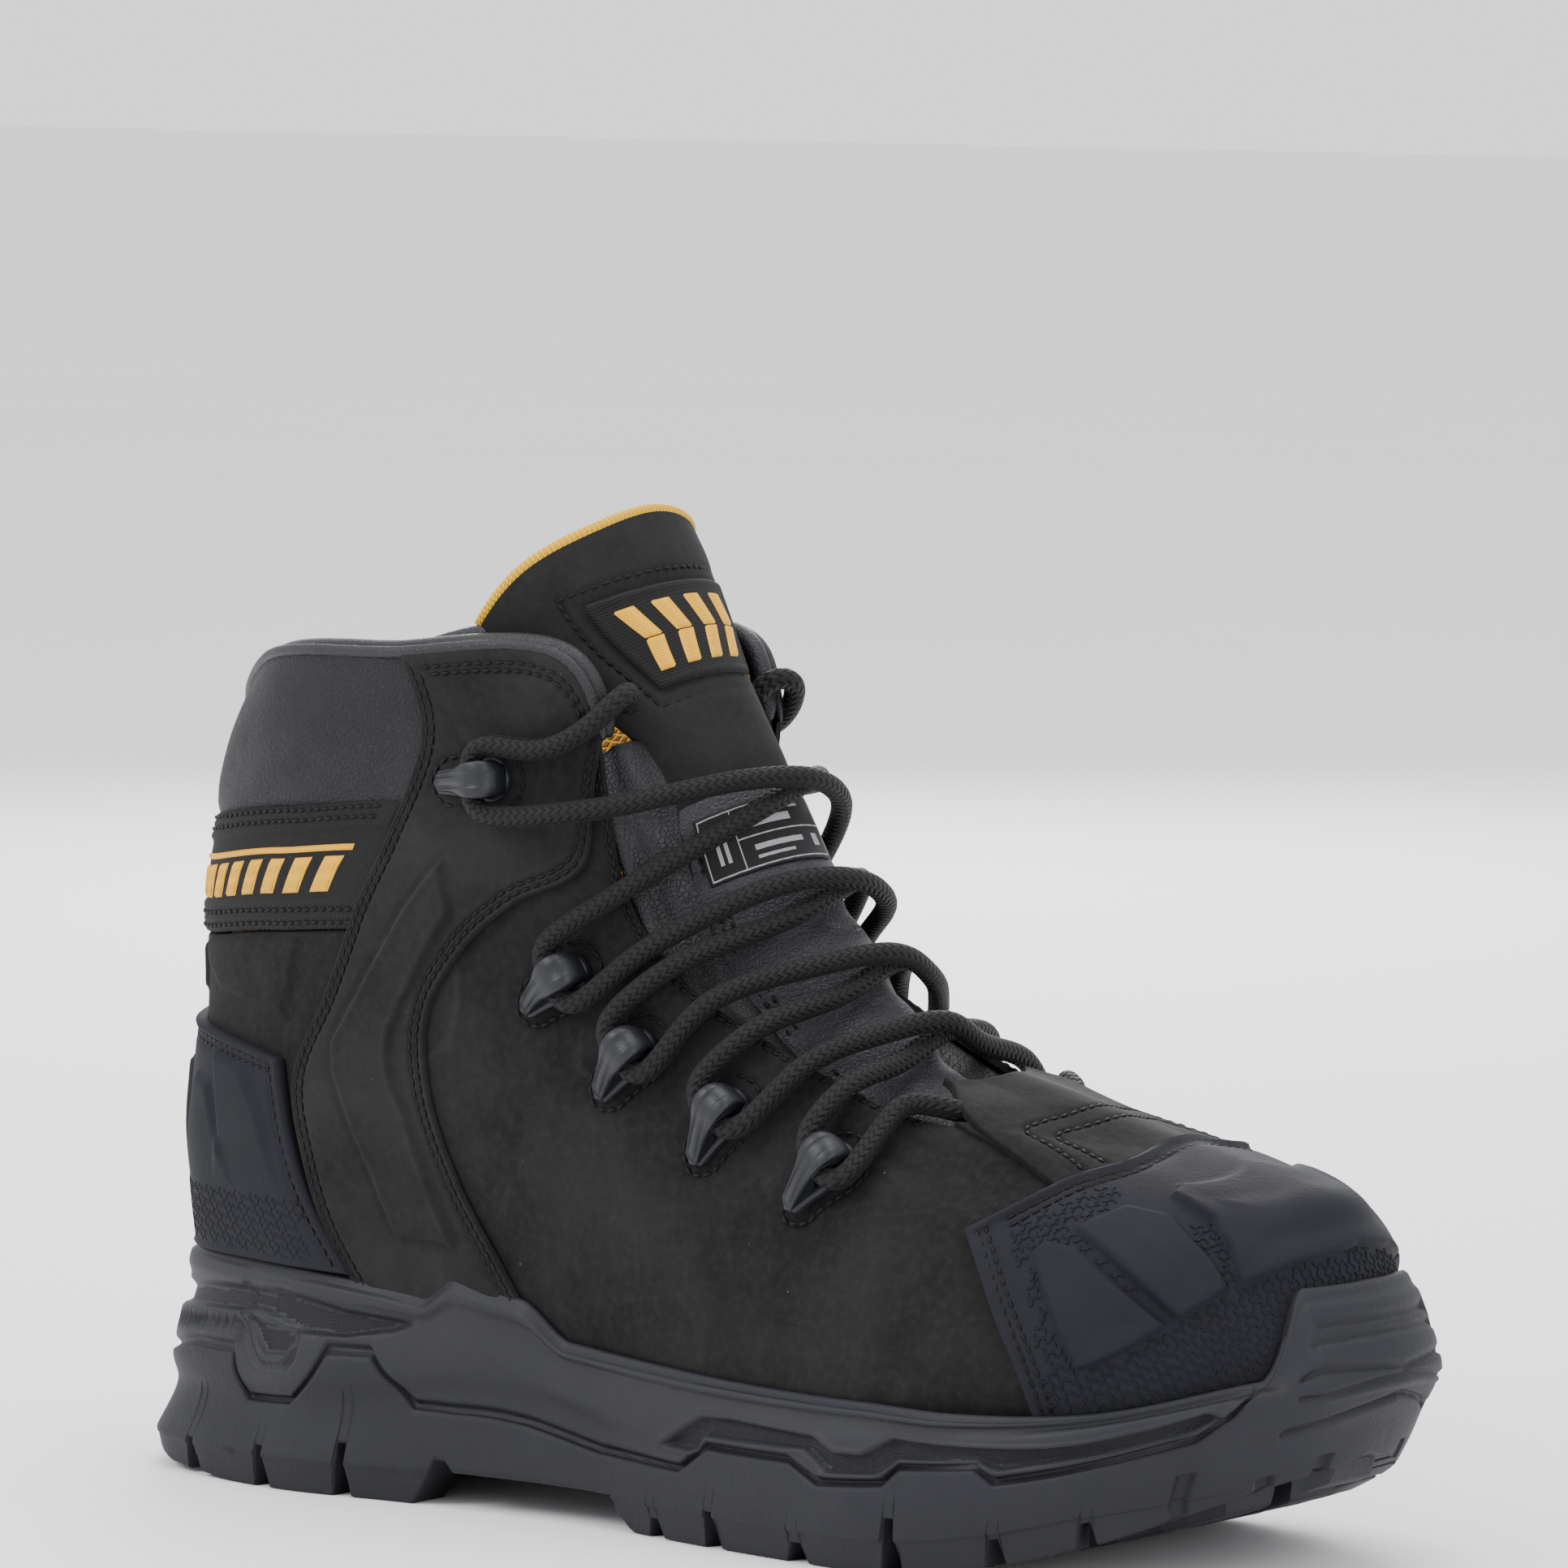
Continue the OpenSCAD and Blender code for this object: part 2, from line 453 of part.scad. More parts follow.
// where the strands pass over the facing's edge, toe side and heel side of each hook: [column, row, offset]
OVER_EDGE = [
    [[2.95, 3.36, 3.4], [3.24, 3.34, 3.4]],
    [[3.4, 3.4, 3.4], [3.68, 3.38, 3.4]],
    [[3.9, 3.4, 3.4], [4.18, 3.4, 3.4]],
    [[4.32, 3.44, 3.4], [4.62, 3.56, 3.4]],
    [[5, 3.8, 7.4], [5.3, 3.9, 5.6]]
];
function over_edge(i, s, which) = let (q = OVER_EDGE[i][which]) on_last(s * q[0], q[1], q[2]);
CROSS_AT = [0.21, 0.33, 0.45, 0.59];
tongue_clear = 1.5;
function crossing(i, list) = [for (q = list) tongue_at(CROSS_AT[i] + q[1], q[0], lace_d / 2 + tongue_clear + q[2])];
// from the throat to the lowest hook: [column, row, offset]
THROAT = [[0, 3.9, 0], [1.2, 3.88, 0], [1.8, 3.8, 0.3], [2.3, 3.64, 1.8], [2.8, 3.48, 3.2]];
function throat(s) = [for (q = THROAT) if (s > 0 || q[0] > 0) on_last(s * q[0], q[1], q[2])];
// over the collar's front edge and down inside it
TUCK = [[5.6, 3.7, 5.6], [5.42, 3.96, 4.4], [5.32, 4.2, 2], [5.3, 4.24, -4], [5.3, 4.14, -6.6]];
function tuck(s) = [for (q = TUCK) on_last(s * q[0], q[1], q[2])];
function reversed(list) = [for (i = [len(list) - 1:-1:0]) list[i]];
// half of the lace, starting at the throat on side s; it changes sides at every crossing
function half_lace(s) = concat(throat(s), [for (i = [0:4]) let (side = i % 2 == 0 ? s : -s)
    each concat(round_hook(i, side), i == 4 ? tuck(side) : concat(
        [over_edge(i, side, 1)],
        side > 0 ? crossing(i, CROSS_UNDER) : reversed(crossing(i, CROSS_OVER)),
        [over_edge(i + 1, -side, 0)]))]);
module lace() color([0.05, 0.05, 0.05]) tube(concat(reversed(half_lace(-1)), half_lace(1)), lace_d, 8);
module tube(path, d, sides) {
    n = len(path) - 1;
    rings = [for (i = [0:n]) let (
            dir = unit(path[min(i + 1, n)] - path[max(i - 1, 0)]),
            side = unit(cross(dir, abs(dir[0]) > 0.9 ? [0, 0, 1] : [1, 0, 0])),
            up = cross(side, dir))
        [for (q = [0:sides - 1]) path[i] + d / 2 * (cos(360 * q / sides) * side + sin(360 * q / sides) * up)]];
    points = [for (r = rings) each r];
    // each ring is joined to the turn of the next that lies nearest
    function turn(i) = let (c = [for (w = [0:sides - 1])
        norm(rings[i + 1][w] - path[i + 1] - (rings[i][0] - path[i]))]) [for (w = [0:sides - 1]) if (c[w] == min(c)) w][0];
    turns = [for (i = [0:n - 1]) turn(i)];
    faces = [
        for (i = [0:n - 1], q = [0:sides - 1]) let (
                r = (q + 1) % sides, a = (q + turns[i]) % sides, b = (r + turns[i]) % sides) each [
            [sides * i + q, sides * i + r, sides * (i + 1) + b],
            [sides * i + q, sides * (i + 1) + b, sides * (i + 1) + a]],
        [for (q = [sides - 1:-1:0]) q],
        [for (q = [0:sides - 1]) sides * n + q]];
    polyhedron(points, faces, 8);
}

// the numbers above are measured from the last; this puts the middle of the finished boot over the origin
middle = [1.3, -0.45, 0];
module placed() translate(-k * middle) children();

placed() outsole();
placed() midsole();
placed() shank();
placed() puncture_plate();
placed() insole_board();
placed() footbed();
placed() vamp();
placed() quarter_outer();
placed() quarter_inner();
placed() saddle_outer();
placed() saddle_inner();
placed() back_panel();
placed() heel_band();
placed() collar_pad();
placed() collar_foam();
placed() collar_piping();
placed() heel_guard();
placed() heel_stiffener();
placed() toe_guard();
placed() steel_toe_cap();
placed() cap_edge_pad();
placed() ankle_foam_outer();
placed() ankle_foam_inner();
placed() boot_lining();
placed() throat_tab();
placed() tongue_leather();
placed() tongue_pad();
placed() tongue_foam();
placed() tongue_lining();
placed() tongue_badge();
placed() tongue_label();
placed() gusset_outer();
placed() gusset_inner();
placed() lace_hooks();
placed() collar_hooks();
placed() rivet_washers();
placed() lace();
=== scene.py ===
import math

import bpy
import numpy as np
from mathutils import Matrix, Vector


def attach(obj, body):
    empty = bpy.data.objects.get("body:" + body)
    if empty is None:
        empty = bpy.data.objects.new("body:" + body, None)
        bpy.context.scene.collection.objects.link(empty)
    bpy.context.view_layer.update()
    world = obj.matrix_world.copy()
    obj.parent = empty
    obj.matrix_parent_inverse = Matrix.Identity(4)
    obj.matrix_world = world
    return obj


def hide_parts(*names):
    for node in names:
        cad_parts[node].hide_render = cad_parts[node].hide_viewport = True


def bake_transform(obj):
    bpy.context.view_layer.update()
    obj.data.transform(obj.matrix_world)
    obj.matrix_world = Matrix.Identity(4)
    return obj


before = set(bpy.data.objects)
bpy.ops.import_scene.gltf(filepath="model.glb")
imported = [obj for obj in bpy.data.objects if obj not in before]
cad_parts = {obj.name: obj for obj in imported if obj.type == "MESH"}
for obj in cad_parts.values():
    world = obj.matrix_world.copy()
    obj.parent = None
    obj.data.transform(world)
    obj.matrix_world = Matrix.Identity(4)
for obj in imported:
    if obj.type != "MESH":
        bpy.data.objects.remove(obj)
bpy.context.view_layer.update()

# ---------------------------------------------------------------- the last, in millimetres
SHIFT = np.array([-1.3, 0.45, 0.0])     # the CAD puts the middle of the boot over the origin
LAST = np.array([
    [(146, 0, 30), (138, 26, 29), (114, 45, 27), (74, 51, 26), (26, 45, 27),
     (-20, 38, 31), (-62, 37, 36), (-102, 35, 38), (-133, 24, 38), (-145, 0, 38)],
    [(149, 0, 50), (141, 27, 49), (116, 47, 48), (76, 53, 48), (26, 47, 52),
     (-22, 42, 62), (-62, 41, 68), (-103, 38, 68), (-135, 26, 68), (-148, 0, 68)],
    [(145, 0, 68), (135, 23, 68), (110, 39, 70), (72, 45, 71), (22, 42, 80),
     (-26, 41, 95), (-62, 41, 104), (-103, 37, 103), (-133, 25, 101), (-145, 0, 101)],
    [(128, 0, 79), (119, 16, 79), (95, 27, 82), (65, 34, 84), (12, 37, 103),
     (-26, 39, 124), (-58, 42, 140), (-102, 38, 138), (-132, 25, 134), (-144, 0, 134)],
    [(68, 0, 92), (64, 9, 91), (56, 17, 93), (34, 24, 104), (2, 29, 127),
     (-13, 33, 157), (-25, 37, 183), (-68, 41, 182), (-108, 32, 179), (-137, 0, 163)]], float)
HEEL, TOP = 9, 4        # the last column, with 0 at the toe, and the last row, with 0 at the sole
RNG = np.random.default_rng(7)


def b4(t):
    """Weights of four neighbours on a smooth curve."""
    return np.stack([-t / 2 + t * t - t**3 / 2, 1 - 2.5 * t * t + 1.5 * t**3,
                     t / 2 + 2 * t * t - 1.5 * t**3, -t * t / 2 + t**3 / 2], -1)


def along(points, t):
    """A smooth curve through points, at share t of its steps."""
    p = np.array(points, float)
    one = p.ndim == 1
    p = p[:, None] if one else p
    t = np.asarray(t, float)
    if len(p) == 1:
        r = np.broadcast_to(p[0], t.shape + (p.shape[1],))
        return r[..., 0] if one else r
    n = len(p) - 1
    t = t * n
    i = np.clip(np.floor(t).astype(int), 0, n - 1)
    w = b4(t - i)
    e = np.vstack([2 * p[0] - p[1], p, 2 * p[n] - p[n - 1]])
    r = sum(w[..., k][..., None] * e[i + k] for k in range(4))
    return r[..., 0] if one else r


def mix(a, b, t):
    return a + (b - a) * t


def ramp(a, b, t):
    """Smooth step of t from a to b."""
    x = np.clip((t - a) / (b - a), 0, 1)
    return x * x * (3 - 2 * x)


def bell(x, width):
    """1 at x = 0, falling smoothly to nothing past the width."""
    return np.exp(-(x / width) ** 2)


def rounded(x):
    """A quarter circle's drop, 1 at x = 0 and 0 from x = 1 on."""
    return 1 - np.sqrt(1 - (1 - np.clip(x, 0, 1)) ** 2)


def swing(x):
    """How far the foot's middle line swings to the inner side."""
    return np.where(x > 0, 4 * (x / 155) ** 2, 0)


def fold(u):
    """Columns past the heel counted back down the other side."""
    return np.where(u > HEEL, 2 * HEEL - u, u)


def S(u, v):
    """The last at column u, positive on the outer side, and row v."""
    u, v = np.broadcast_arrays(np.asarray(u, float), np.asarray(v, float))
    u = np.where(u > HEEL, u - 2 * HEEL, np.where(u < -HEEL, u + 2 * HEEL, u))
    a = np.abs(u)
    i = np.clip(np.floor(a).astype(int), 0, HEEL - 1)
    j = np.clip(np.floor(v).astype(int), 0, TOP - 1)
    wu, wv = b4(a - i), b4(v - j)
    out = np.zeros(u.shape + (3,))
    for p in range(4):
        c = i - 1 + p
        cc = fold(np.abs(c))
        sign = np.where((c < 0) | (c > HEEL), -1, 1)
        for q in range(4):
            r = j - 1 + q
            k = LAST[np.clip(r, 0, TOP), cc].copy()
            k = np.where((r < 0)[..., None], 2 * LAST[0, cc] - LAST[1, cc], k)
            k = np.where((r > TOP)[..., None], 2 * LAST[TOP, cc] - LAST[TOP - 1, cc], k)
            k[..., 1] *= sign
            out += (wu[..., p] * wv[..., q])[..., None] * k
    x, w, z = out[..., 0], out[..., 1], out[..., 2]
    share = 0.94 - 0.25 * (v / TOP) ** 2 * np.maximum(0, 1 - ((a - 4.8) / 3) ** 2)
    return np.stack([x, swing(x) + np.where(u > 0, -w, share * w), z], -1)


def norm(a):
    return a / (np.linalg.norm(a, axis=-1, keepdims=True) + 1e-9)


def N(u, v, e=0.03):
    """The way out of the last."""
    v = np.clip(np.asarray(v, float), e, TOP - e)
    return norm(np.cross(S(u, v + e) - S(u, v - e), S(u + e, v) - S(u - e, v)))


def L(u, v, t=0.0):
    """A point t mm out of the last."""
    u, v, t = np.broadcast_arrays(np.asarray(u, float), np.asarray(v, float), np.asarray(t, float))
    return S(u, v) + t[..., None] * N(u, v)


def put(p):
    """Millimetres of the drawing to metres of the frame."""
    return (np.asarray(p, float) + SHIFT) * 0.001


# ---------------------------------------------------------------- meshes
def finish_piece(o, body, mat, nodes=()):
    """Give a piece its material and body, and hide the CAD nodes it stands for."""
    if mat:
        o.data.materials.append(mat)
    if nodes:
        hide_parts(*nodes)
    if body:
        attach(o, body)
    return o


def linked(name, data):
    o = bpy.data.objects.new(name, data)
    bpy.context.scene.collection.objects.link(o)
    return o


def mesh(name, verts, faces, uv=None, smooth=True):
    """verts in mm; faces of one size as an array; uv one pair for each vertex."""
    me = bpy.data.meshes.new(name)
    verts = put(verts).reshape(-1, 3)
    faces = np.asarray(faces, np.int32)
    k = faces.shape[1]
    me.vertices.add(len(verts))
    me.vertices.foreach_set("co", verts.ravel())
    me.loops.add(faces.size)
    me.loops.foreach_set("vertex_index", faces.ravel())
    me.polygons.add(len(faces))
    me.polygons.foreach_set("loop_start", np.arange(len(faces), dtype=np.int32) * k)
    me.update(calc_edges=True)
    me.polygons.foreach_set("use_smooth", np.full(len(faces), smooth))
    if uv is not None:
        layer = me.uv_layers.new(name="mm")
        layer.data.foreach_set("uv", np.asarray(uv, float).reshape(-1, 2)[faces.ravel()].ravel())
    me.update()
    return linked(name, me)


class Heap:
    """Many small shapes gathered into one mesh."""

    def __init__(s):
        s.v, s.f, s.uv, s.n = [], [], [], 0

    def add(s, v, f, uv=None):
        v = v.reshape(-1, 3)
        s.v.append(v)
        s.f.append(f + s.n)
        s.n += len(v)
        if uv:
            s.uv.append(np.stack(np.broadcast_arrays(*uv), -1).reshape(-1, 2))

    def mesh(s, name, smooth=True):
        return mesh(name, np.vstack(s.v), np.vstack(s.f), np.vstack(s.uv) if s.uv else None, smooth)


def grid_faces(n, m, close_i=False, close_j=False, flip=False):
    i = np.arange(n if close_i else n - 1)[:, None]
    j = np.arange(m if close_j else m - 1)[None, :]
    i2, j2 = (i + 1) % n, (j + 1) % m
    f = np.stack(np.broadcast_arrays(i * m + j, i2 * m + j, i2 * m + j2, i * m + j2), -1).reshape(-1, 4)
    return f[:, ::-1] if flip else f


def arc(p, axis):
    """Length along a grid of points, from its first line."""
    d = np.linalg.norm(np.diff(p, axis=axis), axis=-1)
    pad = [(0, 0)] * d.ndim
    pad[axis] = (1, 0)
    return np.pad(np.cumsum(d, axis), pad)


FINE = np.array([0.0, 0.18, 0.45, 0.85, 1.4, 2.1])


def lines(length, cell):
    """Grid lines from 0 to 1, close together at both ends for a rounded edge."""
    near = FINE / length
    mid = np.linspace(near[-1] + cell / length, 1 - near[-1] - cell / length, max(2, int(length / cell)))
    return np.concatenate([near, mid, 1 - near[::-1]])


def near_path(p, paths):
    """Least distance in mm from each point of a grid to some lines of points."""
    best = np.full(p.shape[:-1], 1e9)
    flat = p.reshape(-1, 3)
    for path in paths:
        q = path[:: max(1, len(path) // 400)]
        d = np.empty(len(flat))
        for s in range(0, len(flat), 8192):
            d[s:s + 8192] = np.sqrt(((flat[s:s + 8192, None] - q[None]) ** 2).sum(-1)).min(1)
        best = np.minimum(best, d.reshape(best.shape))
    return best


class Panel:
    """A sheet of the upper on the last, as the CAD's pieces are laid out, with rounded edges."""

    def __init__(s, front, rear, low, high, t_in, t_out, cell=1.2, side=1, puff=0, lift=0, at=None):
        s.front, s.rear, s.low, s.high, s.side = front, rear, low, high, side
        s.t_in, s.t_out, s.puff, s.lift = t_in, t_out, puff, lift
        s.at = at or L
        a, b = np.linspace(0, 1, 60), np.linspace(0, 1, 40)
        g = s.at(*s.uv(a[:, None], b[None, :]), 0.0)
        s.len_a = arc(g, 0)[-1].max()
        s.len_b = arc(g, 1)[:, -1].max()
        s.a, s.b = lines(s.len_a, cell), lines(s.len_b, cell)
        s.u, s.v = s.uv(s.a[:, None], s.b[None, :])
        s.p = s.at(s.u, s.v, 0.0)
        s.sa, s.sb = arc(s.p, 0), arc(s.p, 1)
        s.da = np.minimum(s.sa, s.sa[-1:] - s.sa)
        s.db = np.minimum(s.sb, s.sb[:, -1:] - s.sb)
        s.edge = np.minimum(s.da, s.db)

    def uv(s, a, b):
        a, b = np.broadcast_arrays(a, b)
        u = s.side * mix(along(s.front, b), along(s.rear, b), a)
        return u, mix(along(s.low, a), along(s.high, a), b)

    def inset(s, where, d, lo=0.0, hi=1.0):
        """Points (u, v) a distance d inside one side, from share lo to share hi of it."""
        level = where in ("low", "high")
        shares, run, dist = (s.a, s.b, s.sb) if level else (s.b, s.a, s.sa.T)
        out = []
        for share, line in zip(shares, dist):
            if lo <= share <= hi:
                if where in ("high", "rear"):
                    x = np.interp(d, (line[-1] - line)[::-1], run[::-1])
                else:
                    x = np.interp(d, line, run)
                out.append(s.uv(*map(np.array, (share, x) if level else (x, share))))
        return np.array(out, float)

    def groove(s, rows, width):
        """1 along stitched rows, falling to 0 beside them."""
        return bell(near_path(s.p, [path3(r, 0, s.at) for r in rows]), width)

    def t(s, relief, radius):
        """How far the outer face stands out of the last, rounded off at the edges."""
        a, b = s.a[:, None], s.b[None, :]
        puff = s.puff * np.sin(np.pi * a) * np.sin(np.pi * b) + s.lift * np.sin(np.pi / 2 * b)
        r = min(radius, s.t_out - s.t_in)
        drop = r * rounded(s.edge / r)
        fade = np.clip(s.edge / 1.2, 0, 1)
        return s.t_out + puff - drop + relief * fade, puff

    def build(s, name, relief=0.0, radius=0.8):
        t, puff = s.t(relief, radius)
        full = lambda g: np.pad(g, ((1, 1), (1, 1)), mode="edge")
        tt = full(t)
        back = full(s.t_in + puff)
        for sl in ((0, slice(None)), (-1, slice(None)), (slice(None), 0), (slice(None), -1)):
            tt[sl] = back[sl]
        p = s.at(full(s.u), full(s.v), tt)
        uv = np.stack([full(s.sa), full(s.sb)], -1) / 100
        return mesh(name, p, grid_faces(*tt.shape, flip=s.side < 0), uv)


# ---------------------------------------------------------------- small repeated shapes
def capsule(length, r, rings=5, sides=6):
    """One stitch, a slim barrel along x."""
    xs = np.linspace(-1, 1, rings)
    prof = np.sqrt(np.clip(1 - np.abs(xs) ** 3, 0.02, 1))
    ang = np.arange(sides) / sides * 2 * np.pi
    v = np.stack([np.broadcast_to(xs[:, None] * length / 2, (rings, sides)),
                  prof[:, None] * r * np.cos(ang), prof[:, None] * r * np.sin(ang) * 0.8], -1).reshape(-1, 3)
    return v, grid_faces(rings, sides, close_j=True)


def scatter(template, origin, ax, ay, az):
    """Copies of a shape at each origin, turned to the axes given there."""
    v, f = template
    pts = origin[:, None] + sum(v[None, :, k:k + 1] * d[:, None] for k, d in enumerate((ax, ay, az)))
    faces = f[None] + (np.arange(len(origin)) * len(v))[:, None, None]
    return pts.reshape(-1, 3), faces.reshape(-1, f.shape[1])


def pick(p, s, at):
    """The points of a line at some lengths along it, where s is the length at each point."""
    return np.stack([np.interp(at, s, p[:, k]) for k in range(3)], -1)


def resample(p, pitch):
    """Points at an even pitch on a line, with the line's direction there."""
    s = arc(p, 0)
    n = max(1, int(s[-1] / pitch))
    at = (np.arange(n) + 0.5) * s[-1] / n
    ahead, behind = pick(p, s, np.minimum(at + 0.3, s[-1])), pick(p, s, np.maximum(at - 0.3, 0))
    return pick(p, s, at), norm(ahead - behind)


def path3(uv, t, at=None):
    return (at or L)(uv[:, 0], uv[:, 1], t)


class Threads(Heap):
    """Rows of single stitches, gathered into one piece."""

    def __init__(s, pitch=2.55, length=2.0, r=0.42):
        super().__init__()
        s.pitch, s.shape = pitch, capsule(length, r)

    def row(s, p, up):
        """p is the line in mm and up the way out of the leather at each of its points."""
        q, x = resample(p, s.pitch)
        a = arc(p, 0)
        n = norm(pick(up, a, (np.arange(len(q)) + 0.5) * a[-1] / len(q)))
        y = norm(np.cross(n, x))
        x = norm(x + 0.07 * y * RNG.uniform(-1, 1, (len(q), 1)))
        s.add(*scatter(s.shape, q + n * RNG.uniform(-0.05, 0.05, (len(q), 1)), x, y, n))

    def on(s, rows, t, at=None):
        for uv in rows:
            p = path3(uv, t, at)
            s.row(p, norm(path3(uv, t + 1.0, at) - p))


def sweep(p, up, section):
    """A section (k, 2), across and up, carried along points p with directions up. It may differ by point."""
    d = norm(np.gradient(p, axis=0))
    x = norm(np.cross(up, d))
    n = norm(np.cross(d, x))
    sec = section if section.ndim == 3 else np.broadcast_to(section, (len(p),) + section.shape)
    pts = p[:, None] + sec[..., 0:1] * x[:, None] + sec[..., 1:2] * n[:, None]
    k = sec.shape[1]
    s = arc(p, 0)
    uv = np.stack(np.broadcast_arrays(s[:, None] / 100, np.arange(k)[None] / k), -1)
    return pts, uv


def circle(r, k, squash=1.0):
    a = np.arange(k) / k * 2 * np.pi
    return np.stack([r * np.cos(a), r * np.sin(a) * squash], -1)


def with_ends(pts):
    """Rings of points with one more ring at each end, drawn in to a point."""
    k = pts.shape[1]
    first, last = (p.mean(1, keepdims=True).repeat(k, 1) for p in (pts[:1], pts[-1:]))
    return np.concatenate([first, pts, last])


def capped_tube(name, pts, uv):
    n, k = pts.shape[:2]
    v = with_ends(pts)
    uv = np.concatenate([uv[:1], uv, uv[-1:]])
    return mesh(name, v, grid_faces(n + 2, k, close_j=True, flip=True), uv)


def smooth_path(points, step):
    """A smooth curve through points, at an even step in mm."""
    p = np.asarray(points, float)
    d = np.linalg.norm(np.diff(p, axis=0), axis=1) ** 0.5
    t = np.concatenate([[0], np.cumsum(d)])
    ext = np.vstack([2 * p[0] - p[1], p, 2 * p[-1] - p[-2]])
    te = np.concatenate([[t[0] - d[0]], t, [t[-1] + d[-1]]])
    out = []
    for i in range(len(p) - 1):
        t0, t1, t2, t3 = te[i:i + 4]
        q = np.linspace(t1, t2, 40, endpoint=i == len(p) - 2)[:, None]

        def between(a, b, ta, tb):
            return (tb - q) / (tb - ta) * a + (q - ta) / (tb - ta) * b

        a1, a2, a3 = (between(ext[i + k], ext[i + k + 1], te[i + k], te[i + k + 1]) for k in range(3))
        out.append(between(between(a1, a2, t0, t2), between(a2, a3, t1, t3), t1, t2))
    c = np.vstack(out)
    s = arc(c, 0)
    return pick(c, s, np.linspace(0, s[-1], int(s[-1] / step) + 1))


def inside_distance(px, py, poly):
    """Signed distance to a polygon in the plane, positive inside."""
    poly = np.asarray(poly, float)
    best = np.full(px.shape, 1e9)
    sign = np.zeros(px.shape, bool)
    for k in range(len(poly)):
        (ax, ay), (bx, by) = poly[k], poly[(k + 1) % len(poly)]
        ex, ey = bx - ax, by - ay
        h = np.clip(((px - ax) * ex + (py - ay) * ey) / (ex * ex + ey * ey + 1e-12), 0, 1)
        best = np.minimum(best, np.hypot(px - ax - h * ex, py - ay - h * ey))
        cross = (ay > py) != (by > py)
        sign ^= cross & (px < (bx - ax) * (py - ay) / (by - ay + 1e-12) + ax)
    return np.where(sign, best, -best)


# ---------------------------------------------------------------- materials
def tint(base, k):
    return tuple(x * k for x in base)


def opaque(c):
    return c if hasattr(c, "is_output") else (*c, 1.0)


class Mat:
    """A material with its shader nodes close at hand."""

    def __init__(s, name, rough=0.6, **inputs):
        s.m = bpy.data.materials.new(name)
        s.m.use_nodes = True
        s.t = s.m.node_tree
        s.b = s.t.nodes["Principled BSDF"]
        s.set(Roughness=rough, **inputs)
        s.obj = s.new("TexCoord").outputs["Object"]
        s.uvc = s.new("UVMap").outputs["UV"]
        s.height = None

    def set(s, **inputs):
        for key, value in inputs.items():
            s.b.inputs[key.replace("_", " ")].default_value = value
        return s

    def new(s, kind, inputs=None, **props):
        n = s.t.nodes.new("ShaderNode" + kind)
        for key, value in props.items():
            setattr(n, key, value)
        for key, value in (inputs or {}).items():
            s.feed(n.inputs[key], value)
        return n

    def feed(s, socket, value):
        if hasattr(value, "is_output"):
            s.t.links.new(value, socket)
        else:
            socket.default_value = value

    def math(s, op, a, b=0.0, c=0.0):
        return s.new("Math", {0: a, 1: b, 2: c}, operation=op).outputs[0]

    def noise(s, scale, detail=3.0, rough=0.5, coord=None, stretch=None, distort=0.0):
        v = coord or s.obj
        if stretch:
            v = s.new("Mapping", {"Scale": stretch, "Vector": v}).outputs[0]
        return s.new("TexNoise", {"Vector": v, "Scale": scale, "Detail": detail, "Roughness": rough,
                                  "Distortion": distort}).outputs["Fac"]

    def cells(s, scale, feature="F1", coord=None, random=1.0):
        return s.new("TexVoronoi", {"Vector": coord or s.obj, "Scale": scale, "Randomness": random},
                     feature=feature).outputs["Distance"]

    def level(s, x, lo, hi, to_lo=0.0, to_hi=1.0):
        values = {"Value": x, "From Min": lo, "From Max": hi, "To Min": to_lo, "To Max": to_hi}
        return s.new("MapRange", values, clamp=True).outputs[0]

    def mixc(s, fac, a, b):
        """Two colours mixed: each a node's output or three numbers."""
        return s.new("Mix", {0: fac, 6: opaque(a), 7: opaque(b)}, data_type="RGBA").outputs[2]

    def color(s, c):
        s.feed(s.b.inputs["Base Color"], opaque(c))
        return s

    def rough(s, x):
        s.feed(s.b.inputs["Roughness"], x)
        return s

    def bump(s, x, mm, strength=1.0):
        below = {"Normal": s.height} if s.height else {}
        values = {"Distance": mm * 0.001, "Strength": strength, "Height": x, **below}
        s.height = s.new("Bump", values).outputs[0]
        s.feed(s.b.inputs["Normal"], s.height)
        return s

    def uvxy(s, fx=1.0, fy=1.0):
        n = s.new("SeparateXYZ", {0: s.uvc})
        return s.math("MULTIPLY", n.outputs[0], fx), s.math("MULTIPLY", n.outputs[1], fy)


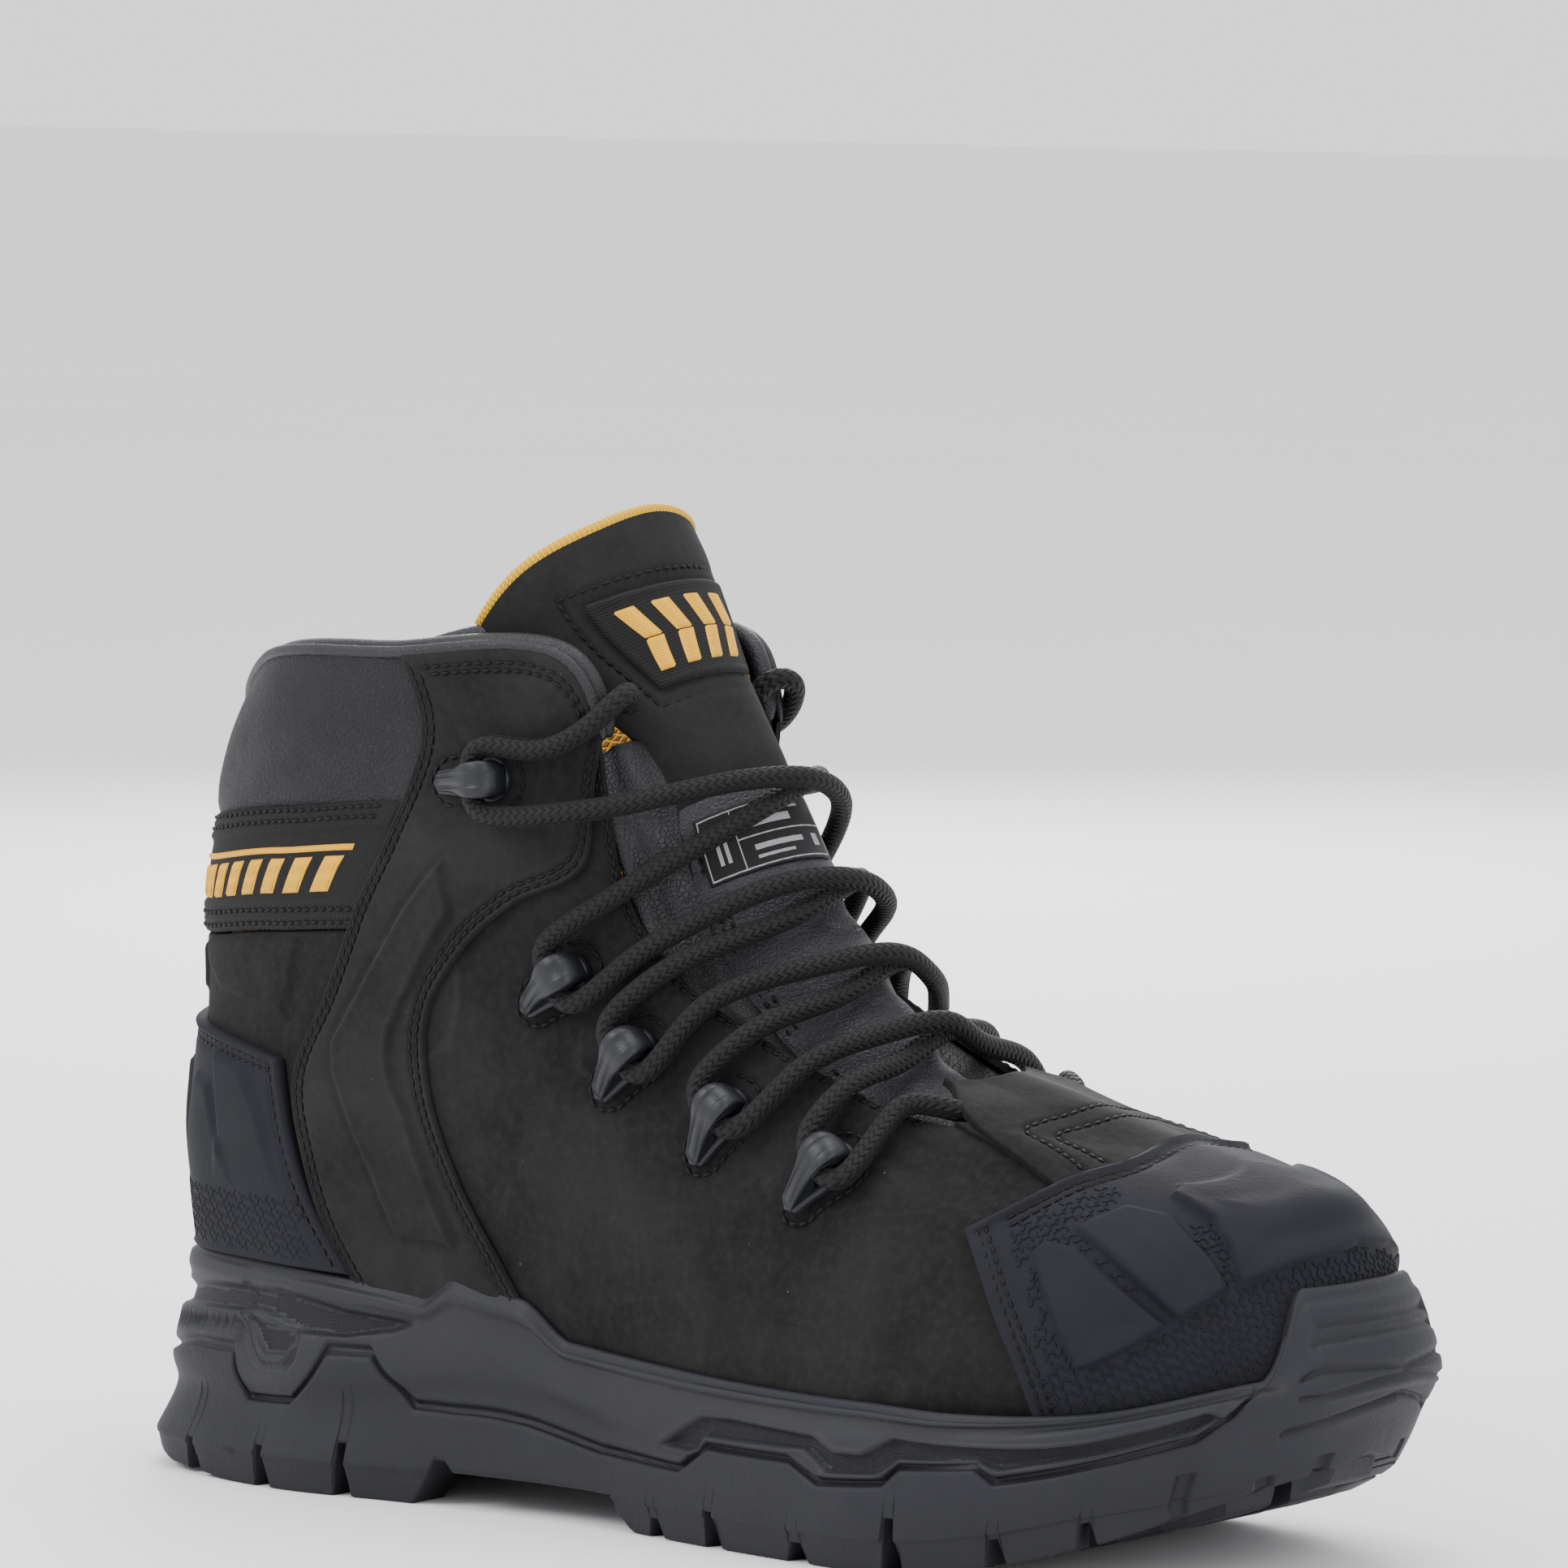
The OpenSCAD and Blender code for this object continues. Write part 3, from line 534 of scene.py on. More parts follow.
def nubuck(name, dark=(0.0032, 0.0031, 0.0034), light=(0.0110, 0.0107, 0.0112)):
    m = Mat(name, 0.86, Sheen_Weight=0.035, Sheen_Roughness=0.5, Sheen_Tint=(0.6, 0.6, 0.62, 1),
            Specular_IOR_Level=0.15)
    big = m.noise(28, 5, 0.6, distort=0.6)
    fine = m.noise(520, 3, 0.6)
    scuff = m.level(m.noise(75, 5, 0.72, stretch=(1, 1, 0.45), distort=1.2), 0.60, 0.76)
    c = m.mixc(m.level(big, 0.3, 0.72), dark, light)
    c = m.mixc(m.math("MULTIPLY", scuff, 0.5), c, (0.026, 0.025, 0.0245))
    c = m.mixc(m.math("MULTIPLY", m.level(fine, 0.42, 0.72), 0.35), c, (0.020, 0.0195, 0.019))
    dust = m.level(m.cells(150), 0.022, 0.04, 1.0, 0.0)
    speck = m.math("MULTIPLY", dust, m.level(m.noise(40, 2), 0.52, 0.6))
    c = m.mixc(m.math("MULTIPLY", speck, 0.55), c, (0.12, 0.12, 0.12))
    m.color(c).rough(m.level(big, 0.25, 0.8, 0.93, 0.76))
    m.bump(m.noise(34, 4, 0.55, distort=0.5), 0.8, 0.7)
    m.bump(m.cells(430), 0.10, 0.45)
    m.bump(m.noise(1400, 3, 0.6), 0.07, 0.7)
    return m.m


def smooth_leather(name, base, rough, grain, spec=0.36):
    m = Mat(name, rough, Specular_IOR_Level=spec)
    big = m.noise(36, 4, 0.55)
    m.color(m.mixc(m.level(big, 0.3, 0.75), tint(base, 0.8), tint(base, 1.25)))
    m.rough(m.level(m.noise(60, 4, 0.6), 0.3, 0.75, rough - 0.06, rough + 0.1))
    m.bump(m.noise(42, 3, 0.5, distort=0.8), 0.35, 0.5)
    m.bump(m.level(m.cells(900, "DISTANCE_TO_EDGE"), 0.0, 0.16), grain, 0.75)
    m.bump(m.noise(2600, 2, 0.5), 0.03, 0.6)
    return m.m


def moulded(name, base=(0.012, 0.012, 0.0155), rough=0.52, grain=0.09, scale=1100, spec=0.3):
    m = Mat(name, rough, Specular_IOR_Level=spec)
    m.color(m.mixc(m.level(m.noise(22, 4, 0.6), 0.3, 0.75), tint(base, 0.86), tint(base, 1.15)))
    m.rough(m.level(m.noise(34, 5, 0.65), 0.3, 0.75, rough - 0.06, rough + 0.1))
    m.bump(m.noise(46, 3, 0.5), 0.12, 0.5)
    m.bump(m.cells(scale), grain, 0.55)
    m.bump(m.noise(scale * 2.4, 2, 0.6), 0.04, 0.6)
    return m.m


def weave(name, base, across=0.9, along_=0.9, depth=0.28, rough=0.78, twill=True, hi=1.8):
    """A woven cloth on a piece's own millimetres."""
    m = Mat(name, rough, Sheen_Weight=0.03, Sheen_Roughness=0.5, Specular_IOR_Level=0.2)
    x, y = m.uvxy(100 / across, 100 / along_)
    wx = m.math("SINE", m.math("MULTIPLY", x, 2 * math.pi))
    wy = m.math("SINE", m.math("MULTIPLY", y, 2 * math.pi))
    if twill:
        h = m.math("SINE", m.math("MULTIPLY", m.math("ADD", x, y), 2 * math.pi))
        h = m.math("ADD", h, m.math("MULTIPLY", wx, 0.6))
    else:
        h = m.math("MULTIPLY", wx, wy)
    h = m.level(h, -1.2, 1.2)
    m.color(m.mixc(h, tint(base, 0.6), tint(base, hi)))
    m.bump(h, depth, 0.9)
    m.bump(m.noise(1500, 2, 0.6), 0.05, 0.6)
    return m.m


def braid(name):
    """Two sets of strands wound opposite ways, on u along the cord and v round it."""
    m = Mat(name, 0.66, Sheen_Weight=0.02, Sheen_Roughness=0.45, Specular_IOR_Level=0.22)
    x, y = m.uvxy(100 / 1.9, 8)
    p = m.math("FRACT", m.math("ADD", x, y))
    q = m.math("FRACT", m.math("SUBTRACT", x, y))
    a = m.math("SINE", m.math("MULTIPLY", p, math.pi))
    b = m.math("SINE", m.math("MULTIPLY", q, math.pi))
    over = m.math("GREATER_THAN", m.math("SINE", m.math("MULTIPLY", y, 2 * math.pi)), 0.0)
    h = m.math("ADD", m.math("MULTIPLY", a, over), m.math("MULTIPLY", b, m.math("SUBTRACT", 1.0, over)))
    h = m.math("POWER", h, 0.7)
    fibre = m.noise(900, 2, 0.6)
    m.color(m.mixc(h, (0.0006, 0.0006, 0.0008), (0.0052, 0.0052, 0.0060)))
    m.bump(h, 0.42, 1.0)
    m.bump(fibre, 0.06, 0.6)
    return m.m


def mesh_cloth(name, base, dark, cell=2.2, flat=False):
    m = Mat(name, 0.85, Sheen_Weight=0.3, Sheen_Roughness=0.5, Specular_IOR_Level=0.25)
    d = m.cells((100 if flat else 1000) / cell, "DISTANCE_TO_EDGE", m.uvc if flat else None, random=0.25)
    h = m.level(d, 0.05, 0.28, 1.0, 0.0)
    m.color(m.mixc(h, dark, base))
    m.bump(h, 0.5, 0.9)
    m.bump(m.noise(1800, 2, 0.6), 0.05, 0.6)
    return m.m


M = {
    "nubuck": nubuck("nubuck_black"),
    "saddle": nubuck("nubuck_embossed", (0.0055, 0.0053, 0.0057), (0.0150, 0.0146, 0.0152)),
    "collar": smooth_leather("collar_leather", (0.0078, 0.0078, 0.0100), 0.58, 0.22, 0.26),
    "tongue_leather": smooth_leather("tongue_pad_leather", (0.0165, 0.0165, 0.0195), 0.46, 0.13),
    "gusset": smooth_leather("gusset_leather", (0.0066, 0.0066, 0.0080), 0.44, 0.12),
    "tongue_top": nubuck("nubuck_tongue", (0.0070, 0.0068, 0.0072), (0.0155, 0.0150, 0.0156)),
    "roll": smooth_leather("rolled_leather", (0.0085, 0.0085, 0.0105), 0.48, 0.09),
    "guard": moulded("guard_rubber", (0.0084, 0.0085, 0.0120), 0.70, 0.10, 1000, 0.17),
    "tread": moulded("tread_rubber", (0.0112, 0.0112, 0.0148), 0.6, 0.12, 800, 0.26),
    "midsole": moulded("midsole_foam", (0.0108, 0.0108, 0.0145), 0.56, 0.08, 1300),
    "hook": moulded("hook_nylon", (0.0082, 0.0086, 0.0118), 0.42, 0.05, 1500, 0.34),
    "band": weave("woven_band", (0.006, 0.006, 0.0065), 0.8, 0.8, 0.3),
    "inlay": weave("inlay_weave", (0.010, 0.010, 0.0128), 0.75, 0.75, 0.3, 0.6, False),
    "thread": Mat("thread_black", 0.62, Specular_IOR_Level=0.22).color((0.0018, 0.0018, 0.0021)).m,
    "lace": braid("lace_braid"),
    "yellow": weave("yellow_knit", (0.80, 0.44, 0.012), 1.1, 1.1, 0.35, 0.8, True, 1.25),
    "embroidery": weave("yellow_thread", (0.80, 0.40, 0.012), 0.55, 6.0, 0.22, 0.55, False, 1.2),
    "lining": mesh_cloth("lining_mesh", (0.72, 0.37, 0.014), (0.22, 0.11, 0.01), 2.0, True),
    "bed": mesh_cloth("footbed_knit", (0.045, 0.045, 0.048), (0.012, 0.012, 0.012), 1.6),
    "label": weave("label_satin", (0.005, 0.005, 0.0055), 0.35, 0.35, 0.08, 0.5, False),
    "grey": weave("grey_thread", (0.32, 0.32, 0.33), 0.5, 3.0, 0.12, 0.6, False, 1.2),
    "foam": mesh_cloth("open_foam", (0.30, 0.30, 0.29), (0.12, 0.12, 0.12), 1.0),
    "board": mesh_cloth("fibre_board", (0.42, 0.36, 0.27), (0.28, 0.23, 0.17), 0.8),
    "steel": moulded("coated_steel", (0.16, 0.165, 0.17), 0.4, 0.03, 900),
    "plain": moulded("moulded_sheet", (0.18, 0.17, 0.16), 0.6, 0.05, 900),
}
M["steel"].node_tree.nodes["Principled BSDF"].inputs["Metallic"].default_value = 0.8

# ---------------------------------------------------------------- camera first, then the boot
AZ, EL, DIST = math.radians(38), math.radians(6.5), 2200.0
PICTURE, FOCAL = 1932, 12875.0      # width and focal length in pixels
SENSOR = 36
back = np.array([math.sin(AZ) * math.cos(EL), -math.cos(AZ) * math.cos(EL), math.sin(EL)])
right = norm(np.cross(-back, [0, 0, 1.0]))
above = np.cross(right, -back)
aim = norm(-back + right * (21 / FOCAL) + above * (344 / FOCAL))
cam = linked("camera", bpy.data.cameras.new("camera"))
cam.location = Vector(put(np.array([0, 0, 95]) + back * DIST))
cam.rotation_euler = Vector(aim).to_track_quat("-Z", "Y").to_euler()
cam.data.sensor_width = SENSOR
cam.data.lens = FOCAL * SENSOR / PICTURE
cam.data.clip_end = 50
bpy.context.scene.camera = cam

# ---------------------------------------------------------------- upper
stitch = Threads()
SIDES = ((1, "outer"), (-1, "inner"))
GAP, OVERLAY, GUARD = 0.35, 1.6, 2.1    # air under an overlay, and the thickness of overlays and guards
FACING = [3.5, 3.47, 3.45, 3.45, 3.56, 3.88, 3.97, 3.97, 3.97]
# column, row and turn in degrees of each hook
HOOKS = [[3.48, 2.22, 56], [4.0, 2.3, 54], [4.5, 2.4, 55], [4.92, 2.68, 54]]
COLLAR_HOOK = [5.9, 3.39, 47]


def hook_axes(h, s):
    """Along the hook, across it and out of the leather."""
    u, v, turn = s * h[0], h[1], math.radians(h[2])
    n = N(u, v)
    rise = S(u, v + 0.2) - S(u, v - 0.2)
    up = norm(rise - (rise @ n) * n)
    x = math.cos(turn) * up - s * math.sin(turn) * np.cross(n, up)
    return x, np.cross(n, x), n


def teardrop(r, tail, grow=0.0, n=9):
    """Outline of a hook's base: round at the nose, narrow at the tail."""
    a = np.radians(np.linspace(-110, 110, n * 2 + 1))
    nose = np.stack([3.9 + (r + grow) * np.cos(a), (r + grow) * np.sin(a)], -1)
    tip = [[-4.5, r * 0.62 + grow], [-9, tail + grow], [-9 - tail / 2 - grow, 0], [-9, -tail - grow],
           [-4.5, -r * 0.62 - grow]]
    return np.vstack([nose, tip])


def hook_ring(h, s, grow, t):
    """The stitched drop round a hook, on the leather."""
    x, y, n = hook_axes(h, s)
    o = L(s * h[0], h[1], t)
    ring = teardrop(5.1, 2.4, grow)
    ring = np.vstack([ring, ring[:1]])
    q = smooth_path(np.concatenate([ring, np.zeros((len(ring), 1))], 1), 1.0)
    p = o + q[:, :1] * x + q[:, 1:2] * y
    # settle the flat drop on to the curved leather
    near = np.linspace(-0.7, 0.7, 60)
    base = L(s * (h[0] + near)[:, None], (h[1] + near)[None, :], t).reshape(-1, 3)
    d = ((p[:, None] - base[None]) ** 2).sum(-1)
    p = p + ((base[d.argmin(1)] - p) @ n)[:, None] * n
    return p, np.broadcast_to(n, p.shape)


def ripple(q, a, b, c, k=1.3, shift=0.8):
    """The slow swell of worn leather over a panel."""
    return np.sin(q.sa / a + k * np.sin(q.sb / b)) * np.sin(q.sb / c + shift)


# vamp: its sides lie over the quarters with a cut edge
q = Panel([-1.98, -1.98, -2.0, -2.08, -2.42], [1.98, 1.98, 2.0, 2.08, 2.42], [0.05],
          [3.5, 3.66, 3.76, 3.8, 3.76, 3.66, 3.5], -1.8, 1.15, 1.2)
rows = [q.inset(w, d, 0.66, 0.985) for w in ("front", "rear") for d in (2.0, 3.7)]
soft = 0.35 * ripple(q, 13, 16, 14) * ramp(2, 9, q.edge)
o = q.build("vamp_leather", -0.6 * q.groove(rows, 0.75) + soft, 0.55)
finish_piece(o, "boot", M["nubuck"], ["vamp"])
stitch.on(rows, 0.98)

# quarters, with the stitched drops round the hooks and creases where the foot bends
for s, side in SIDES:
    q = Panel([2.01, 2.01, 2.01, 2.06, 2.36], [6.18, 6.18, 6.18, 6.18, 6.8], [0.05], FACING,
              -1.8, 0.0, 1.05, side=s)
    rings = [hook_ring(h, s, 2.1, 0.0) for h in HOOKS]
    rows = [q.inset("high", 2.2, 0.08, 0.66), q.inset("high", 4.6, 0.10, 0.66)]
    close = near_path(q.p, [r[0] for r in rings])
    inner = near_path(q.p, [hook_ring(h, s, -1.5, 0.0)[0] for h in HOOKS])
    relief = -0.42 * bell(close, 0.9) - 0.5 * bell(inner, 3.4) - 0.3 * q.groove(rows, 0.8)
    crease = sum(-0.35 * bell((q.u * s - (3.02 + k * 0.27)) * 42 + 5 * np.sin(q.sb / 11 + k), 2.6)
                 for k in range(3))
    relief = relief + 0.5 * ripple(q, 17, 23, 21) * ramp(2, 14, q.edge) + \
        crease * ramp(0.5, 1.2, q.v) * (1 - ramp(2.0, 2.9, q.v))
    o = q.build("quarter_leather_" + side, relief)
    finish_piece(o, "boot", M["nubuck"], ["quarter_" + side])
    stitch.on(rows, -0.12)
    for p, up in rings:
        stitch.row(p + up * -0.1, up)


# saddles: one long embossed bend, stitched along the edges
def plane(u, v):
    """Columns and rows as rough millimetres, the same on both sides."""
    return (np.abs(fold(np.asarray(u))) - 5.0) * 38.0, np.asarray(v) * 33.0


def inside_plane(q, corners):
    return inside_distance(*plane(q.u, q.v), [plane(*c) for c in corners])


def emboss(q, corners, rise):
    return ramp(-rise / 2, rise / 2, inside_plane(q, corners))


SADDLE_FRONT = [5.2, 5.42, 5.68, 5.87, 5.88, 5.6, 5.28, 4.95, 5.3]
SADDLE_REAR = [6.4, 6.62, 6.76, 6.84, 6.62, 6.4, 6.26, 6.4, 6.9]
BEND_REAR = [
    (5.84, 2.98), (6.08, 2.54), (6.4, 2.04), (6.53, 1.82), (6.52, 1.64), (6.42, 1.4), (6.26, 1.06),
    (6.12, 0.68)]
BEND_FRONT = [
    (5.70, 0.70), (5.88, 1.12), (6.0, 1.40), (6.12, 1.64), (6.14, 1.78), (6.12, 1.92), (6.0, 2.16),
    (5.82, 2.48), (5.68, 2.74)]
for s, side in SIDES:
    q = Panel(SADDLE_FRONT, SADDLE_REAR, [0.16], [3.97], GAP, GAP + OVERLAY, 0.75, side=s)
    rows = [q.inset(w, *r) for w in ("front", "rear") for r in ((1.8, 0.01, 0.985), (3.5, 0.02, 0.97))]
    rows += [q.inset("high", 3.2, 0.05, 0.95), q.inset("high", 4.9, 0.08, 0.92)]
    ring, ring_up = hook_ring(COLLAR_HOOK, s, 2.1, GAP + OVERLAY)
    close = near_path(q.at(q.u, q.v, GAP + OVERLAY), [ring])
    # the bend stands up along its rear edge and slopes down to the front one
    deep = inside_plane(q, BEND_REAR + BEND_FRONT)
    bend = 0.95 * ramp(-0.5, 0.7, deep) - 0.25 * bell(deep + 0.9, 0.8) + 0.3 * bell(deep - 1.0, 0.9)
    soft = 0.35 * ripple(q, 7, 16, 12, 1.1, 0.5) * ramp(2, 9, q.edge) + 0.25 * bell(q.edge - 2.65, 0.8)
    relief = bend + soft - 0.65 * q.groove(rows, 0.7) - 0.5 * bell(close, 0.9)
    o = q.build("saddle_leather_" + side, relief, 1.0)
    finish_piece(o, "boot", M["saddle"], ["saddle_" + side])
    stitch.on(rows, GAP + OVERLAY - 0.22)
    stitch.row(ring - ring_up * 0.1, ring_up)

# back panel with two embossed facets each side
q = Panel([6.26], [11.74], [0.05], [2.48], -1.8, 0.0, 1.0)
emb = 0.9 * emboss(q, [(6.78, 2.44), (6.98, 1.94), (7.72, 2.14), (7.9, 2.30), (7.9, 2.44)], 1.4) + \
    0.8 * emboss(q, [(8.05, 2.40), (8.05, 2.12), (8.7, 2.02), (8.8, 2.40)], 1.4)
o = q.build("back_panel_leather", emb + 0.3 * np.sin(q.sa / 15) * np.sin(q.sb / 13))
finish_piece(o, "boot", M["nubuck"], ["back_panel"])

# woven band, with stitched borders and a plain striped mark
q = Panel([6.26], [11.74], [2.49], [3.22], -1.5, 0.2, 0.9)
rows = [q.inset(w, d, 0.02, 0.98) for w in ("low", "high") for d in (1.6, 4.4)]
o = q.build("heel_band_weave", 0.75 * (1 - ramp(6.2, 7.4, q.db)) - 0.4 * q.groove(rows, 0.8))
finish_piece(o, "boot", M["band"], ["heel_band"])
stitch.on(rows, 0.8)
for s, side in SIDES:
    marks_heap = Heap()
    bars = [(6.50 + 0.21 * k, 0.125, 2.72, 2.925) for k in range(8)] + [(6.46, 1.66, 2.955, 2.99)]
    for u0, wide, v0, v1 in bars:
        na, nb = (120, 5) if wide > 1 else (9, 20)
        a, b = np.linspace(0, 1, na)[:, None], np.linspace(0, 1, nb)[None, :]
        u = s * (u0 + wide * a + 0.07 * (1 - b) * (wide < 1))
        v = v0 + (v1 - v0) * b + 0 * a
        e = np.minimum(np.minimum(a, 1 - a) * na * 0.55, np.minimum(b, 1 - b) * nb * 0.35)
        t = 0.2 + 0.62 * np.sqrt(np.clip(e / 0.8, 0, 1))
        marks_heap.add(L(u, v, t), grid_faces(na, nb, flip=s < 0), (a * wide * 0.36, b * (v1 - v0) * 0.33))
    finish_piece(marks_heap.mesh("band_marks_" + side), "boot", M["embroidery"])

# padded collar
q = Panel([6.12, 6.36, 6.8], [11.88, 11.64, 11.2], [3.2], [4.02], -1.2, 0.25, 1.0)
a = fold(q.u)
swell = 3.4 * ramp(6.45, 7.15, a - 0.25 * (q.v - 3.2)) * \
    np.sin(np.pi * ramp(-0.12, 1.08, (q.v - 3.2) / 0.82)) ** 0.7 * (1 - 0.55 * bell(a - HEEL, 0.8))
wrinkle = 0.3 * np.sin(q.sa / 4.3 + 2.2 * np.sin(q.sb / 9)) * bell(q.sb - 7, 5) + \
    0.4 * np.sin(q.sa / 21 + 1) * np.sin(q.sb / 12)
centre_seam = -1.1 * bell((q.u - HEEL) * 30, 1.6)
o = q.build("collar_padding", (wrinkle + swell) * ramp(0, 3, q.edge) + centre_seam, 1.2)
finish_piece(o, "boot", M["collar"], ["collar_pad"])

# rolled piping: two beads that close the rim, from one front edge to the other
STEPS = 420
u = np.linspace(5.28, 12.72, STEPS)
rim = L(u, np.full(STEPS, 3.965), 0.0)
out = N(u, np.full(STEPS, 3.95))
ups = norm(S(u, np.full(STEPS, 4.0)) - S(u, np.full(STEPS, 3.9)))
taper = np.minimum(1, np.minimum(np.arange(STEPS), np.arange(STEPS)[::-1]) / 7) ** 0.5
for name, off, r, squash, rise in (("piping_outer", 0.75, 1.05, 1.25, 0.75),
                                   ("piping_inner", -2.2, 2.35, 0.95, 1.0)):
    section = np.stack([circle(1.0, 14) * [r, r * squash] * f for f in 0.25 + 0.75 * taper])
    o = capped_tube(name, *sweep(rim + out * off + ups * rise, ups, section))
    finish_piece(o, "boot", M["roll"], ["collar_piping"] if "outer" in name else ())

# heel guard: a moulded cup with facets and a fine grid of hooked marks
q = Panel([6.46, 6.68, 6.84, 6.95], [11.54, 11.32, 11.16, 11.05], [0.34],
          [1.7, 1.84, 1.92, 1.95, 1.92, 1.84, 1.7], GAP, GAP + GUARD, 0.9)
rows = [q.inset(w, d, 0.02, 0.98) for w in ("front", "rear", "high") for d in (2.2, 3.7)]
HEEL_FACETS = [[(7.62, 1.72), (7.28, 1.62), (7.1, 1.36), (6.92, 0.88), (7.58, 0.86), (7.5, 1.2)],
               [(7.9, 1.55), (7.68, 1.5), (7.52, 1.2), (7.36, 0.86), (8.05, 0.84), (8.0, 1.2)],
               [(8.2, 1.62), (8.22, 0.86), (8.86, 0.84), (8.88, 1.62)]]
facets = sum(emboss(q, poly, 2.0) * ramp(0.75, 1.3, q.v) for poly in HEEL_FACETS)
o = q.build("heel_guard_moulding", facets + 0.7 * bell(q.edge - 0.9, 0.9) - 0.55 * q.groove(rows, 0.8), 1.1)
finish_piece(o, "boot", M["guard"], ["heel_guard"])
stitch.on(rows, GAP + GUARD - 0.4)

# toe guard: blocks on the outer and inner side of the toe, the same each way, and one across the middle
# (column, row) corners of each raised block, its height, and the row where it blends out
TOE_BLOCKS = [
    ([(2.30, 1.80), (2.22, 1.92), (2.04, 1.86), (1.84, 1.6), (1.53, 1.24), (1.78, 1.03), (2.02, 0.88),
      (2.18, 1.36)], 2.0, 2.0),
    ([(2.04, 2.06), (1.76, 1.68), (1.46, 1.30), (1.14, 1.56), (1.2, 1.78), (1.3, 2.0), (1.42, 2.34),
      (1.7, 2.4)], 2.1, 2.35),
    ([(1.36, 2.64), (1.13, 2.3), (1.06, 1.92), (1.05, 1.60), (0.6, 1.80), (0.0, 1.92), (-0.6, 1.80),
      (-1.05, 1.60), (-1.06, 1.92), (-1.13, 2.3), (-1.36, 2.64), (-1.2, 2.86), (0, 3.16), (1.2, 2.86)], 1.9, 3.1)]
GUARD_SIDE = [2.25, 2.38, 2.55, 2.7]
GUARD_TOP = [2, 2.75, 3.17, 3.38, 3.44, 3.38, 3.17, 2.75, 2]
q = Panel([-x for x in GUARD_SIDE], GUARD_SIDE, [0.3], GUARD_TOP, GAP, GAP + GUARD, 0.7)


def toe_plane(u, v):
    return np.asarray(u) * 36.0, np.asarray(v) * 27.0


def toe_blocks(u, v):
    """Distance inside each block, with its height and end row."""
    for poly, high, end in TOE_BLOCKS:
        for m in ((1, -1) if min(x for x, _ in poly) > 0 else (1,)):
            yield inside_distance(*toe_plane(u, v), [toe_plane(m * pu, pv) for pu, pv in poly]), high, end


rows = [q.inset(w, d, lo, hi) for w, lo, hi in (("front", 0.02, 0.97), ("rear", 0.02, 0.97),
                                                ("high", 0.04, 0.96)) for d in (2.7, 4.6)]
block = np.zeros(q.u.shape)
for d, high, end in toe_blocks(q.u, q.v):
    slope = 0.25 + 0.75 * ramp(end + 0.05, end - 0.75, q.v)
    pillow = 1 - 0.28 * bell(d - 7, 4.5)
    block = np.maximum(block, 1.15 * high * ramp(-0.5, 0.65, d) * slope * pillow)
rim = 0.9 * ramp(0.2, 0.9, q.edge) * ramp(2.4, 1.9, q.edge)
o = q.build("toe_guard_moulding", block + rim - 0.55 * q.groove(rows, 0.8), 1.1)
finish_piece(o, "boot", M["guard"], ["toe_guard"])
stitch.on(rows, GAP + GUARD - 0.35)


def marks(name, places, arm, bend, width, high):
    """A field of small three-armed raised marks on a guard: places are (column, row, turn)."""
    heap = Heap()
    u, v, turn = places.T
    o, n = L(u, v, GAP + GUARD), N(u, v)
    up = S(u, v + 0.05) - S(u, v - 0.05)
    up = norm(up - (up * n).sum(-1, keepdims=True) * n)
    across = np.cross(n, up)
    faces = np.array([[4, 5, 6, 7], [0, 1, 5, 4], [1, 2, 6, 5], [2, 3, 7, 6], [3, 0, 4, 7]])
    first = (np.arange(len(places)) * 8)[:, None, None]
    for k in range(3):
        a0 = turn + k * 2 * np.pi / 3
        a1 = a0 + 1.05
        p0 = np.zeros((len(places), 2))
        p1 = arm * np.stack([np.cos(a0), np.sin(a0)], -1)
        p2 = p1 + bend * np.stack([np.cos(a1), np.sin(a1)], -1)
        for s0, s1 in ((p0, p1), (p1, p2)):
            d = norm(s1 - s0)
            w = np.stack([-d[:, 1], d[:, 0]], -1) * width / 2
            corners = []
            for share, rise in ((1.5, -0.1), (0.7, high)):
                for c in (s0 - w * share, s1 - w * share, s1 + w * share, s0 + w * share):
                    corners.append(o + c[:, :1] * across + c[:, 1:] * up + rise * n)
            heap.add(np.stack(corners, 1), (faces + first).reshape(-1, 4))
    finish_piece(heap.mesh(name, smooth=False), "boot", M["guard"])


def field(u0, u1, v0, v1, pitch, keep):
    """Places on a staggered grid of about pitch mm."""
    out = []
    v, row = v0, 0
    um = np.linspace(u0, u1, 400)
    middle = np.mean([u0, u1]) + 1.2
    while v < v1:
        s = arc(S(um, np.full(400, v)), 0)
        for k, u in enumerate(np.interp(np.arange(row % 2 * pitch / 2, s[-1], pitch), s, um)):
            out.append((u, v, np.pi / 6 + (np.pi / 3 if (k + row // 2) % 2 else 0)))
        v += pitch * 0.82 * 0.05 / np.linalg.norm(S(middle, v + 0.05) - S(middle, v))
        row += 1
    out = np.array(out)
    return out[keep(out[:, 0], out[:, 1])]


def on_toe_base(u, v):
    free = np.all([d < -0.85 for d, _, _ in toe_blocks(u, v)], 0)
    side = np.abs(u) < along(GUARD_SIDE, np.clip((v - 0.3) / 2.6, 0, 1)) - 0.118
    top = v < along(GUARD_TOP, np.clip((u + 2.6) / 5.2, 0, 1)) - 0.21
    return free & side & top & ((v < 2.3) | (np.abs(u) > 1.75)) & (v > 0.45)


def on_heel_base(u, v):
    return (v < 0.80) & (fold(u) > 6.68 + 0.14 * v)


marks("toe_guard_marks", field(-2.6, 2.6, 0.45, 3.3, 2.75, on_toe_base), 1.05, 0.72, 0.36, 0.26)
marks("heel_guard_marks", field(6.5, 11.5, 0.4, 1.0, 2.9, on_heel_base), 0.9, 0.62, 0.34, 0.14)


